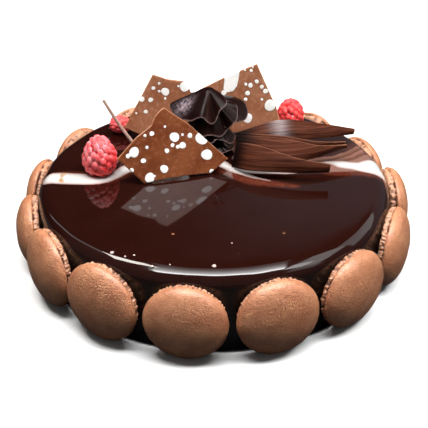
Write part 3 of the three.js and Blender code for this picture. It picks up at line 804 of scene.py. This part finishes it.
def shaving_material():
    s = Shader("chocolate_shaving")
    along = s.times(s.attribute("along"), 0.045)
    across = s.times(s.attribute("across"), 1.6)
    lines = s.node("CombineXYZ", {0: along, 1: across}).outputs[0]
    fine = s.noise(1.0, 4.0, 0.65, lines)
    broad = s.noise(3.6, 2.0, 0.5, lines)
    tone = s.blend(s.step(fine, 0.38, 0.62), (0.026, 0.0060, 0.0025), (0.080, 0.0215, 0.0098))
    tone = s.blend(s.times(s.step(broad, 0.50, 0.72), 0.6), tone, (0.120, 0.038, 0.019))
    # A whitish patch on the top shaving: a painted sheen.
    painted_sheen = s.times(s.attribute("painted_sheen"), s.step(fine, 0.34, 0.64, 0.25, 1.0))
    tone = s.blend(painted_sheen, tone, (0.34, 0.285, 0.29))
    # Lighter along the edges, most on the upper long edge: a painted highlight.
    tone = s.blend(s.attribute("edge"), tone, (0.24, 0.105, 0.060))
    # Near black towards the ruffle: a painted shadow where the shavings tuck under it.
    tone = s.blend(s.attribute("root"), tone, (0.004, 0.001, 0.0005))
    rough = s.step(fine, 0.3, 0.7, 0.50, 0.66)
    return s.finish(Base_Color=tone, Roughness=rough, Normal=s.bump(fine, 0.24), Specular_IOR_Level=0.05)


def stick_material():
    s = Shader("chocolate_stick")
    tone = s.blend(s.noise(3.0, 3.0), (0.36, 0.20, 0.150), (0.56, 0.36, 0.290))
    tone = s.blend(s.step(s.noise(0.8, 3.0), 0.56, 0.72), tone, (0.22, 0.095, 0.060))
    return s.finish(Base_Color=tone, Roughness=0.55, Normal=s.bump(s.noise(0.7, 3.0), 0.12))


# ---------------------------------------------------------------- the glazed cake

def cake_profile():
    """(radius, height) from the middle of the underside out, up the side, over the rim and in."""
    radius, base = CAKE["top_radius"], CAKE["base_radius"]
    rim, corner = CAKE["rim_fillet"], CAKE["base_fillet"]
    under = [(r, 0.0) for r in np.linspace(8, base - corner, 8)]
    turns = np.radians(np.linspace(-75, 0, 6))
    foot = [(base - corner + corner * math.cos(a), corner + corner * math.sin(a)) for a in turns]
    heights = np.linspace(corner, TOP - rim, 18)[1:-1]
    side = [(mix(base, radius, (z - corner) / (TOP - rim - corner)), z) for z in heights]
    turns = np.radians(np.linspace(0, 90, 34))
    edge = [(radius - rim + rim * math.cos(a), TOP - rim + rim * math.sin(a)) for a in turns]
    flat = [(r, TOP) for r in np.linspace(radius - rim, 1.0, 64)[1:]]
    return [(0.0, 0.0), *under, *foot, *side, *edge, *flat, (0.0, TOP)]


def settle_glaze(points):
    """The glaze runs a little unevenly over the rim and down the side."""
    radius = np.hypot(points[:, 0], points[:, 1])
    outer = smoothstep(CAKE["top_radius"] - CAKE["rim_fillet"] - 6, CAKE["top_radius"], radius)
    standing = smoothstep(0.5, 6.0, points[:, 2])
    sway = fractal(points * (1, 1, 0.5), 26.0, 2) * GLAZE_RUN["sway"] - GLAZE_RUN["inwards"]
    scale = 1 + outer * standing * sway / np.maximum(radius, 1.0)
    run = fractal(points, 34.0, 2, 9.0) * GLAZE_RUN["down"] - GLAZE_RUN["down"]
    dip = outer * standing * smoothstep(TOP - 8, TOP - 1, points[:, 2]) * run
    return np.stack([points[:, 0] * scale, points[:, 1] * scale, points[:, 2] + dip], -1)


def glaze_height(radius):
    """Height of the glaze at a distance from the cake's axis."""
    past = max(0.0, radius - CAKE["top_radius"] + CAKE["rim_fillet"])
    return TOP - CAKE["rim_fillet"] + math.sqrt(CAKE["rim_fillet"] ** 2 - past**2)


def glaze_bump(x, y, radius, rise):
    """A low round dome on the glaze."""
    turns = np.radians(np.linspace(-40, 90, 9))
    profile = [(0, -0.3), *[(math.cos(a), math.sin(a)) for a in turns[:-1]], (0, 1)]
    points, faces = lathe(profile, 16)
    points = points * (radius, radius, rise)
    return points + (x, y, glaze_height(math.hypot(x, y)) - 0.1), faces


def make_cake():
    points, faces = lathe(cake_profile(), CAKE["sides"])
    x, y = points[:, 0], points[:, 1]
    white = np.minimum(ribbon_distance(x, y, WHITE_RIBBON), ribbon_distance(x, y, WHITE_TAIL))
    amber = np.min([ribbon_distance(x, y, stations) for stations in AMBER_RIBBONS], axis=0)
    outside = (x < MARBLE_CORNER[0]) | (y < MARBLE_CORNER[1])
    marble = np.where(outside, -UNREACHED, side_distance(x, y, MARBLE_EDGE))
    below = points[:, 2] < TOP - CAKE["marbled_down"]
    parts = [(settle_glaze(points), faces, {
        "white": np.where(below, UNREACHED, white),
        "amber": np.where(below, UNREACHED, amber),
        "stain": ribbon_distance(x, y, STAIN),
        "marble": np.where(below, -UNREACHED, marble),
        "crumb": np.zeros(len(points)),
        "bead": np.zeros(len(points)),
        # How much painted shade the side below the rim gets; it also roughens the glaze there.
        "side": smoothstep(TOP - 5, TOP - 10, points[:, 2]),
    })]
    plain = {key: UNREACHED for key in ("white", "amber", "stain")}
    plain.update(marble=-UNREACHED, side=0.0, bead=0.0, crumb=0.0)
    domes = [(*place, radius, BEAD_RISE, {"bead": 1.0}) for *place, radius in BEADS]
    domes += [(*place, radius, CRUMB_RISE, {"crumb": orange}) for *place, radius, orange in CRUMBS]
    for dome_x, dome_y, radius, rise, own in domes:
        dome, dome_faces = glaze_bump(dome_x, dome_y, radius, rise * radius)
        values = {key: np.full(len(dome), value) for key, value in {**plain, **own}.items()}
        parts.append((dome, dome_faces, values))
    points, faces, attributes = join_parts(parts)
    make_piece("glazed_cake", points, faces, glaze_material(), ["cake"], attributes)


# ---------------------------------------------------------------- macaron shells

def node_points(node):
    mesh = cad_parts[node].data
    flat = np.empty(3 * len(mesh.vertices))
    mesh.vertices.foreach_get("co", flat)
    return flat.reshape(-1, 3) / MM


def shell_measures(node):
    """Where a shell stands, read off its solid: angle, distance of its back, half width and height, depth."""
    points = node_points(node)
    middle = (points.max(0) + points.min(0)) / 2
    angle = math.atan2(middle[0], -middle[1])
    sideways = points @ (math.cos(angle), math.sin(angle), 0)
    outward = points @ (math.sin(angle), -math.cos(angle), 0)
    return {
        "angle": angle,
        "back": outward.min(),
        "depth": outward.max() - outward.min(),
        "half_width": (sideways.max() - sideways.min()) / 2,
        "half_height": (points[:, 2].max() - points[:, 2].min()) / 2,
    }


def shell_profile(depth, half_width):
    """(share of the half width, distance from the flat back), back middle to dome middle."""
    foot_depth = MACARON["foot_depth"]
    foot = 1 - MACARON["foot_inset"] / half_width
    heel = MACARON["heel"]
    skirt = foot_depth + MACARON["skirt"]
    back = [(r, 0.0) for r in np.linspace(0.0, foot - heel, 4)]
    swell = [
        (foot - heel * (1 - smoothstep(0, 0.8, depth_here)), depth_here)
        for depth_here in np.linspace(0, foot_depth, 25)[1:]
    ]
    lip = [(mix(foot, 1.0, t), mix(foot_depth, skirt, t)) for t in (0.25, 0.5, 0.75)]
    turns = np.radians(np.linspace(0, 90, 22))
    dome = [(math.cos(a), skirt + (depth - skirt) * math.sin(a)) for a in turns]
    return [*back, *swell, *lip, *dome[:-1], (0.0, depth)]


def foot_relief(local, out, order):
    """How far the foot's frill and gaps move its surface outwards, how dark each gap is painted as shade, and
    the frill.
    """
    lip = MACARON["foot_depth"]
    teeth = fractal(local * (1, 1, 0.3), 1.5, 3, 11.0 + order)
    crumbs = fractal(local, 1.0, 2, 7.0 * order)
    openings = smoothstep(-0.05, 0.30, fractal(local * (1, 1, 0.2), 3.4, 3, 5.0 * order + 2.0))
    frill = smoothstep(lip + 0.1, lip - 0.3, out)
    gap = bell(out, lip, 0.42) * openings
    relief = frill * (0.9 * teeth + 0.30 * crumbs - 0.40) - 1.4 * gap
    # Painted shade between the frill's teeth.
    between = 0.85 * frill * smoothstep(-0.05, -0.40, teeth)
    return relief, np.clip(np.maximum(1.3 * gap, between), 0, 1), frill


def make_shell(node, order, material):
    m = shell_measures(node)
    profile = shell_profile(m["depth"], m["half_width"])
    angle = m["angle"]
    behind = abs(angle) > math.radians(MACARON["behind"])
    points, faces = lathe(profile, MACARON["sides_behind" if behind else "sides"])
    share = np.hypot(points[:, 0], points[:, 1])
    across = points[:, 0] * m["half_width"]
    up = points[:, 1] * m["half_height"]
    out = points[:, 2].copy()
    local = np.stack([across, up, out], -1)
    near_edge = smoothstep(0.86, 0.93, share)
    on_dome = smoothstep(MACARON["foot_depth"] + 0.2, MACARON["foot_depth"] + 2.0, out)

    relief, gap_shade, frill = foot_relief(local, out, order)
    outline = fractal(local * (1, 1, 0.2), 9.0, 2, 3.0 * order) * 0.22 - 0.28
    waves = fractal(local, 12.0, 2, 5.0 * order)
    skin = fractal(local * (1, 2.2, 1), 1.5, 2, 13.0 * order)
    on_skirt = smoothstep(MACARON["foot_depth"] - 0.2, MACARON["foot_depth"] + 0.5, out) * (1 - on_dome)
    radial = near_edge * relief + outline * smoothstep(0.6, 1.0, share) + 0.12 * skin * on_skirt
    scale = 1 + np.minimum(radial, 0.05) / m["half_width"]
    out = out - on_dome * (0.18 + 0.22 * np.abs(waves) - 0.05 * skin) * smoothstep(1.0, 0.7, share)
    across, up = across * scale, up * scale

    base = m["back"] + out
    x = base * math.sin(angle) + across * math.cos(angle)
    y = -base * math.cos(angle) + across * math.sin(angle)
    z = up + m["half_height"]
    name = f"macaron_shell_{order:02d}"
    attributes = {"pit": gap_shade * near_edge, "frill": frill}
    make_piece(name, np.stack([x, y, z], -1), faces, material, [node], attributes)


# ---------------------------------------------------------------- raspberries

def even_directions(count, seed):
    """Directions spread evenly over a sphere, each nudged a little."""
    draw = np.random.default_rng(seed)
    i = np.arange(count)
    z = 1 - 2 * (i + 0.5) / count
    radius = np.sqrt(1 - z * z)
    turn = i * math.pi * (3 - math.sqrt(5))
    directions = np.stack([radius * np.cos(turn), radius * np.sin(turn), z], -1)
    directions += draw.normal(0, 0.36 / math.sqrt(count), directions.shape)
    return directions / np.linalg.norm(directions, axis=1, keepdims=True)


def round_ball(levels):
    """Points and three-sided faces of a finely split icosahedron."""
    edit = bmesh.new()
    bmesh.ops.create_icosphere(edit, subdivisions=levels, radius=1.0)
    points = np.array([v.co[:] for v in edit.verts])
    faces = [[v.index for v in f.verts] for f in edit.faces]
    edit.free()
    return points, faces


def berry_surface(directions, centres, berry):
    """How far the berry reaches along each direction, and how high on its drupelet that point is."""
    draw = np.random.default_rng(berry["seed"] + 100)
    radius = berry["radius"]
    stretch = np.array([1.0, 1.0, berry["length"] / (2 * radius)])
    cell = 2 / math.sqrt(len(centres))
    ball = 1.04 * cell * radius * draw.uniform(0.94, 1.06, len(centres))
    middles = centres * (radius - 1.0 * ball)[:, None]
    reach = np.zeros(len(directions))
    crown = np.zeros(len(directions))
    for middle, size in zip(middles, ball):
        along = directions @ middle
        inside = along**2 - middle @ middle + size**2
        hit = np.where(inside > 0, along + np.sqrt(np.maximum(inside, 0)), 0)
        hit = np.where(along > 0, hit, 0)
        nearer = hit > reach
        height = (hit - np.linalg.norm(middle)) / size
        crown = np.where(nearer, height, crown)
        reach = np.maximum(reach, hit)
    reach = np.maximum(reach, 0.78 * radius)
    narrowing = 1 - berry["narrowing"] * directions[:, 2:3]
    narrow = np.hstack([narrowing, narrowing, np.ones_like(narrowing)])
    points = directions * reach[:, None] * stretch * narrow
    return points, np.clip((crown - 0.45) / 0.5, 0, 1)


def hairs(directions, points, seed):
    """Short hairs that stand out of the drupelets."""
    draw = np.random.default_rng(seed)
    parts = []
    for index in draw.choice(len(points), HAIRS["count"], replace=False):
        root = points[index]
        out = directions[index] + draw.normal(0, 0.45, 3)
        out /= np.linalg.norm(out)
        side = np.cross(out, draw.normal(0, 1, 3))
        side *= HAIRS["width"] / np.linalg.norm(side)
        other = np.cross(out, side)
        tip = root + out * HAIRS["length"] * draw.uniform(0.6, 1.2) + draw.normal(0, 0.15, 3)
        ring = [root + side, root - 0.5 * side + 0.87 * other, root - 0.5 * side - 0.87 * other]
        faces = [[0, 1, 3], [1, 2, 3], [2, 0, 3], [0, 2, 1]]
        parts.append((np.array([*ring, tip]), faces, {"crown": np.ones(4)}))
    return parts


def make_raspberry(node, material):
    berry = RASPBERRIES[node]
    directions, faces = round_ball(berry["levels"])
    centres = even_directions(berry["drupelets"], berry["seed"])
    points, crown = berry_surface(directions, centres, berry)
    points[:, 2] = np.maximum(points[:, 2], -BERRY_FOOT * berry["length"])
    lean = turned(berry["turn"], berry["lean"])
    points, directions = points @ lean.T, directions @ lean.T
    low, high = (np.array(corner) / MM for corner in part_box(node))
    middle = (points.min(0) + points.max(0)) / 2
    points[:, :2] += ((low + high) / 2 - middle)[:2]
    points[:, 2] += low[2] - points[:, 2].min()
    middle = (points.min(0) + points.max(0)) / 2
    clear = np.flatnonzero(points[:, 2] > low[2] + HAIRS["bare"])
    styles = hairs(directions[clear], points[clear], berry["seed"])
    points, faces, attributes = join_parts([(points, faces, {"crown": crown}), *styles])
    # The painted sheen fades away from the side the lights reach.
    skyward = (points - middle) @ SHEEN_SIDE / berry["radius"]
    attributes["rim_sheen"] = berry["rim_sheen"] * smoothstep(-0.4, 0.9, skyward)
    make_piece(f"{node}_berry", points, faces, material, [node], attributes)


# ---------------------------------------------------------------- plaques and stick

def plaque_outline(plaque):
    """The outline as closely spaced points, each side bowed outwards by its bulge."""
    corners = plaque["outline"]
    bulges = plaque.get("bulges", [0] * len(corners))
    points = []
    for (x, y), (next_x, next_y), bulge in zip(corners, corners[1:] + corners[:1], bulges):
        length = math.hypot(next_x - x, next_y - y)
        bow = 2 * bulge / length
        control = ((x + next_x) / 2 - bow * (y - next_y), (y + next_y) / 2 - bow * (next_x - x))
        for t in np.linspace(0, 1, max(2, round(length / PLAQUE["grid"])) + 1)[:-1]:
            points.append([
                (1 - t) ** 2 * a + 2 * t * (1 - t) * c + t * t * b
                for a, c, b in zip((x, y), control, (next_x, next_y))
            ])
    return np.array(points)


def inset_outline(points, depth):
    """The outline moved inwards, with its corners kept."""
    before = points - np.roll(points, 1, 0)
    after = np.roll(points, -1, 0) - points
    normals = []
    for edge in (before, after):
        edge = edge / np.linalg.norm(edge, axis=1, keepdims=True)
        normals.append(np.stack([-edge[:, 1], edge[:, 0]], -1))
    bisector = normals[0] + normals[1]
    bisector /= np.sum(bisector * normals[0], axis=1, keepdims=True)
    return points + depth * bisector


def face_triangles(outline):
    """Even small triangles that fill an outline."""
    step = PLAQUE["grid"]
    low, high = outline.min(0), outline.max(0)
    rows = np.arange(low[1], high[1], step * 0.866)
    columns = np.arange(low[0], high[0], step)
    grid = np.array([(x + (k % 2) * step / 2, y) for k, y in enumerate(rows) for x in columns])
    grid = grid[polygon_distance(grid, outline) < -0.55 * step]
    everything = [Vector(p) for p in np.vstack([outline, grid])]
    count = len(outline)
    edges = [(i, (i + 1) % count) for i in range(count)]
    made = delaunay_2d_cdt(everything, edges, [], 1, 1e-4)
    return np.array([v[:] for v in made[0]]), [list(f) for f in made[2]]


def drop_distance(name, points):
    """Distance outside the nearest white drop on a plaque's face."""
    best = np.full(len(points), NO_DROP)
    for order, (x, y, radius) in enumerate(DROPS[name]):
        dx, dy = points[:, 0] - x, points[:, 1] - y
        turn = np.arctan2(dy, dx)
        uneven = 1 + 0.05 * np.sin(2 * turn + order) + 0.03 * np.sin(3 * turn + 2 * order)
        best = np.minimum(best, np.hypot(dx, dy) - radius * uneven)
    if TONGUE["plaque"] == name:
        best = np.minimum(best, polygon_distance(points, np.array(TONGUE["outline"], float)) - 0.4)
    return best


def make_plaque(name, material):
    plaque = PLAQUES[name]
    bevel = PLAQUE["bevel"]
    outline = plaque_outline(plaque)
    inner = inset_outline(outline, bevel)
    flat, triangles = face_triangles(inner)
    count, ring = len(flat), len(outline)
    nearest = [int(np.argmin(np.hypot(*(flat - p).T))) for p in inner]
    wave = PLAQUE["wave"] * fractal(np.hstack([flat, np.zeros((count, 1))]), 15.0, 2, 4.0)
    drops = drop_distance(name, flat)
    rise = PLAQUE["drop_rise"] * smoothstep(0.15, -0.45, drops)
    front = wave + rise - PLAQUE["set_back"]
    back = wave - PLAQUE["thickness"] + PLAQUE["clearance"]
    front_rim = wave[nearest] - PLAQUE["set_back"]
    between = mix(inner, outline, 0.7)
    outlines = [
        (between, front_rim - 0.3 * bevel), (outline, front_rim - bevel),
        (outline, back[nearest] + bevel), (between, back[nearest] + 0.3 * bevel),
    ]
    points = np.vstack([np.column_stack([xy, z]) for xy, z in [(flat, front), (flat, back), *outlines]])
    faces = [list(t) for t in triangles] + [[count + k for k in reversed(t)] for t in triangles]
    loops = [list(nearest)]
    loops += [[2 * count + k * ring + i for i in range(ring)] for k in range(len(outlines))]
    loops += [[count + k for k in nearest]]
    for upper, lower in zip(loops[:-1], loops[1:]):
        for i in range(ring):
            after = (i + 1) % ring
            faces.append([upper[i], lower[i], lower[after], upper[after]])
    edge_drop = drop_distance(name, outline)
    plain_back, plain_rim = np.full(count, NO_DROP), np.full(2 * ring, NO_DROP)
    attributes = {
        "drop": np.concatenate([drops, plain_back, edge_drop, edge_drop + 0.3, plain_rim]),
        # Where the edges' painted highlight goes.
        "edge": np.concatenate([np.zeros(2 * count), np.ones(ring * len(outlines))]),
    }
    points = points @ turned(plaque["facing"], plaque["tilt"]).T
    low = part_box(name)[0].z / MM
    points[:, 2] += low + PLAQUE["clearance"] - points[:, 2].min()
    points[:, :2] += plaque["at"]
    make_piece(f"{name}_sheet", points, faces, material, [name], attributes, crease=50)


def make_stick(material):
    foot, tip = np.array(STICK["foot"]), np.array(STICK["tip"])
    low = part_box("chocolate_stick")[0].z / MM
    along = tip - foot
    length = np.linalg.norm(along)
    along /= length
    side = np.cross(along, (0, 0, 1.0))
    side /= np.linalg.norm(side)
    other = np.cross(along, side)
    depths, end_sizes = (np.array(values) for values in zip(*STICK_ENDS))
    even = np.linspace(0.4, length - 0.4, STICK["rings"])
    steps = np.concatenate([depths, even, length - depths[::-1]])
    sizes = np.concatenate([end_sizes, np.ones(len(even)), end_sizes[::-1]])
    turns = np.linspace(0, 2 * np.pi, STICK["sides"], endpoint=False)
    rings = []
    for step, size in zip(steps, sizes):
        bend = STICK["bend"] * math.sin(math.pi * step / length)
        middle = foot + along * step + other * bend
        for turn in turns:
            wave = 0.5 + 0.5 * math.cos(STICK["grooves"] * turn + 0.08 * step)
            groove = 1 - STICK["groove_share"] * wave
            reach = STICK["thickness"] / 2 * size * groove * mix(1.0, STICK["tip_share"], step / length)
            rings.append(middle + reach * (math.cos(turn) * side + math.sin(turn) * other))
    points = np.array(rings).reshape(len(steps), len(turns), 3).transpose(1, 0, 2)
    points = points + 0.07 * fractal(points, 1.8, 3)[..., None] * side
    faces = grid_faces(len(turns), len(steps), 0, ring=True)
    flat = points.reshape(-1, 3)
    flat[:, 2] += max(0.0, low - flat[:, 2].min())
    make_piece("chocolate_stick_rod", flat, faces, material, ["chocolate_stick"])


# ---------------------------------------------------------------- the chocolate ruffle

def petal_grid(petal, columns, rows, seed):
    """Points of one petal, columns round it and rows from the core to the free edge."""
    stations = np.array(petal["edge"], float)
    edge_points = around_cake(stations[:, 0], stations[:, 1], stations[:, 2])
    u = np.linspace(0, 1, columns, endpoint=False)
    edge = spline(edge_points, u, closed=True)
    v = border_spacing(rows, 0.012)
    reach = np.hypot(edge[:, 0], edge[:, 1])
    heading = edge[:, :2] / np.maximum(reach, 1e-6)[:, None]
    radius = mix(RUFFLE["root"], reach[:, None], v)
    droop = v ** petal["droop"]
    height = petal["top"] - (petal["top"] - edge[:, 2:3]) * droop
    grid = np.stack([heading[:, 0:1] * radius, heading[:, 1:2] * radius, height], -1)
    turn = np.arctan2(edge[:, 0], -edge[:, 1])
    angles = [*stations[:, 0], stations[0, 0] + 360]
    angle = np.interp(u * len(stations), range(len(angles)), angles)
    pleated = 1 - smoothstep(petal["pleats_end"], petal["pleats_end"] + 16, angle)
    wander = fractal(np.stack([np.cos(turn) * 2, np.sin(turn) * 2, np.zeros(columns) + seed], -1), 1.0, 2)
    phase = petal["pleats"] * turn + 2.2 * wander
    pleat = np.cos(phase) + 0.3 * np.cos(2.3 * phase + 1.0)
    rise = petal["pleat_depth"] * pleated * smoothstep(4, 12, reach)
    depth = smoothstep(0.15, 0.9, v)[None, :] * rise[:, None]
    normals = grid_normals(grid, True)
    grid = grid + normals * (pleat[:, None] * depth)[..., None]
    spot = RUFFLE["painted_sheen"]
    round_it, outwards = bell(angle, spot["angle"], spot["width"]), bell(v, spot["share"], spot["spread"])
    return grid, v, reach, pleat * pleated, petal.get("painted_sheen", 0) * np.outer(round_it, outwards)


def make_ruffle(material):
    base = np.array([*RUFFLE["at"], TOP + 0.3])
    parts = []
    for order, petal in enumerate(RUFFLE["petals"]):
        columns, rows = RUFFLE["grid" if order else "first_grid"]
        grid, v, reach, pleat, painted_sheen = petal_grid(petal, columns, rows, 3.0 * order)
        taper = np.interp(v, [0, 0.9, 0.985, 0.993, 1.0], [1.3, 0.75, 0.6, 0.45, 0.16])
        points, faces = thick_sheet(grid, RUFFLE["thickness"] * taper[None, :], ring=True)
        far = (1 - v)[None, :] * np.maximum(reach, 1.0)[:, None]
        # Where the free edges' painted highlight goes.
        edge = bell(far, 0, 0.32) * smoothstep(3.4, 6.0, reach)[:, None]
        crest_highlight = np.broadcast_to(smoothstep(0.2, 1.2, pleat)[:, None], far.shape)
        layers = {"edge": edge, "crest_highlight": crest_highlight, "painted_sheen": painted_sheen}
        parts.append((points, faces.tolist(), both_faces(layers)))
    core, core_faces = lathe(RUFFLE["core"], 48)
    parts.append((core, core_faces, {key: np.zeros(len(core)) for key in layers}))
    points, faces, attributes = join_parts(parts)
    make_piece(
        "chocolate_ruffle_petals", points + base, faces, material, ["chocolate_ruffle"],
        attributes, crease=70,
    )


# ---------------------------------------------------------------- the fan of shavings

def make_shaving(name, material, order):
    shaving = SHAVINGS[name]
    u = rim_spacing(SHAVING["columns"], SHAVING_ENDS)
    v = rim_spacing(SHAVING["rows"], SHAVING_SIDES)
    low = spline(shaving["lower"], u)[:, None, :]
    high = spline(shaving["upper"], u)[:, None, :]
    across = high - low
    width = np.linalg.norm(across, axis=-1)
    outwards = np.stack([np.zeros_like(width), -across[..., 2], across[..., 1]], -1)
    outwards /= np.linalg.norm(outwards, axis=-1, keepdims=True)
    share = v[None, :, None]
    grid = low + across * share + outwards * 4 * shaving["belly"] * share * (1 - share)
    length = np.linalg.norm(spline(shaving["upper"], [1.0]) - spline(shaving["upper"], [0.0]))
    along = (u * length)[:, None] * np.ones_like(v)
    over = v[None, :] * width
    lines = np.stack([along * 0.03, over, np.full_like(over, 5.0 * order)], -1)
    ridge = fractal(lines, 1.7, 3) + 0.6 * fractal(lines, 0.8, 2, 4.0)
    inner = smoothstep(0, 0.05, v) * smoothstep(1, 0.95, v)
    grid = grid + outwards * (SHAVING["ridge"] * ridge * inner[None, :] - SHAVING["set_back"])[..., None]
    thickness = SHAVING["thickness"] * thinned(v, SHAVING_SIDES)[None, :]
    points, faces = thick_sheet(grid, thickness * thinned(u, SHAVING_ENDS)[:, None])
    to_long = np.minimum(v, 1 - v)[None, :] * width
    to_end = (1 - u)[:, None] * length
    edge = np.maximum(bell(to_long, 0, 0.24), 0.7 * bell(to_end, 0, 0.25))
    # The upper long edge gets the most of the painted highlight.
    upper_side = mix(0.35, 1.0, smoothstep(0.4, 0.6, v))[None, :]
    attributes = both_faces({
        "edge": edge * upper_side,
        "across": over + 20 * order,
        "along": along,
        # Painted shadow towards the ruffle.
        "root": smoothstep(15, 2, along),
        "painted_sheen": shaving.get("painted_sheen", 0) * bell(along, SHAVING["sheen_at"], SHAVING["sheen_width"]),
    })
    make_piece(
        f"{name}_curl", points + (0, 0, TOP), faces, material, [name], attributes,
        crease=60,
    )


# ---------------------------------------------------------------- light, floor and camera

def make_floor():
    """A pale floor that looks white, and throws only a little light back up."""
    s = Shader("studio_floor")
    is_camera = s.node("LightPath").outputs["Is Camera Ray"]
    tone = s.blend(is_camera, (0.04, 0.04, 0.04), (0.92, 0.92, 0.92))
    s.finish(Base_Color=tone, Roughness=0.9, Specular_IOR_Level=0.0)
    reach = 3.0
    mesh = bpy.data.meshes.new("studio_floor")
    corners = [(-reach, -reach, 0), (reach, -reach, 0), (reach, reach, 0), (-reach, reach, 0)]
    mesh.from_pydata(corners, [], [(0, 1, 2, 3)])
    mesh.materials.append(s.material)
    floor = add_object("studio_floor", mesh)
    floor.location.z = -0.3 * MM


def make_world():
    """White paper behind everything. For light and reflections it is a dim room, dark behind on the left
    and bluish grey low down behind on the right."""
    world = bpy.data.worlds.new("studio")
    world.use_nodes = True
    bpy.context.scene.world = world
    world.node_tree.nodes.clear()
    w = Nodes(world.node_tree)
    way = w.node("SeparateXYZ", {0: w.node("TexCoord").outputs["Generated"]}).outputs
    low_right = w.times(w.step(way["X"], -0.08, 0.10), w.step(way["Z"], 0.60, 0.50))
    behind = w.blend(low_right, (0.016, 0.015, 0.016), (0.15, 0.19, 0.21))
    tone = w.blend(w.step(way["Y"], 0.10, 0.35), (0.11, 0.11, 0.11), behind)
    room = w.node("Background", {"Color": tone}).outputs[0]
    paper = w.node("Background", {"Color": (1, 1, 1)}).outputs[0]
    is_camera = w.node("LightPath").outputs["Is Camera Ray"]
    shown = w.node("MixShader", {0: is_camera, 1: room, 2: paper}).outputs[0]
    w.node("OutputWorld", {"Surface": shown})


def add_softbox(name, box, height):
    """A rectangular soft light that faces down; radiance is how bright its face looks."""
    size = [high - low for low, high in (box["x"], box["y"])]
    light = bpy.data.lights.new(name, "AREA")
    light.shape = "RECTANGLE"
    light.size, light.size_y = size
    light.energy = box["radiance"] * math.pi * size[0] * size[1]
    light.color = box.get("tint", (1, 1, 1))
    lamp = add_object(name, light)
    lamp.location = (sum(box["x"]) / 2, sum(box["y"]) / 2, height)
    lamp.rotation_euler.z = math.radians(box.get("turn", 0))
    return lamp


def make_lights():
    for name, box in LIGHTS["boxes"].items():
        add_softbox(name, box, LIGHTS["box_height"]).visible_glossy = False
    for name, box in LIGHTS["cards"].items():
        add_softbox(name, box, LIGHTS["card_height"]).visible_diffuse = False


def make_camera():
    camera = bpy.data.cameras.new("camera")
    camera.lens = CAMERA["lens"]
    camera.sensor_width = 36.0
    camera.clip_start = 0.05
    camera.clip_end = 20.0
    eye = add_object("camera", camera)
    eye.location = Vector(CAMERA["place"]) * MM
    eye.rotation_euler = (math.radians(90 - CAMERA["looking_down"]), 0, 0)
    bpy.context.scene.camera = eye


# ---------------------------------------------------------------- everything together

def build():
    bpy.context.scene.view_settings.view_transform = "Standard"
    make_camera()
    make_world()
    make_floor()
    make_lights()
    make_cake()
    macaron = macaron_material()
    shells = sorted(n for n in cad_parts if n.startswith("macaron_"))
    for order, node in enumerate(shells, start=1):
        make_shell(node, order, macaron)
    raspberry = raspberry_material()
    for node in RASPBERRIES:
        make_raspberry(node, raspberry)
    front = plaque_material("milk_chocolate_front", (0.155, 0.037, 0.011), (0.240, 0.072, 0.025))
    make_plaque("plaque_front", front)
    back = plaque_material("milk_chocolate_back", (0.300, 0.108, 0.050), (0.400, 0.165, 0.088))
    make_plaque("plaque_back_left", back)
    make_plaque("plaque_back_right", back)
    make_stick(stick_material())
    make_ruffle(ruffle_material())
    shaving = shaving_material()
    for order, name in enumerate(SHAVINGS, start=1):
        make_shaving(name, shaving, order)


build()
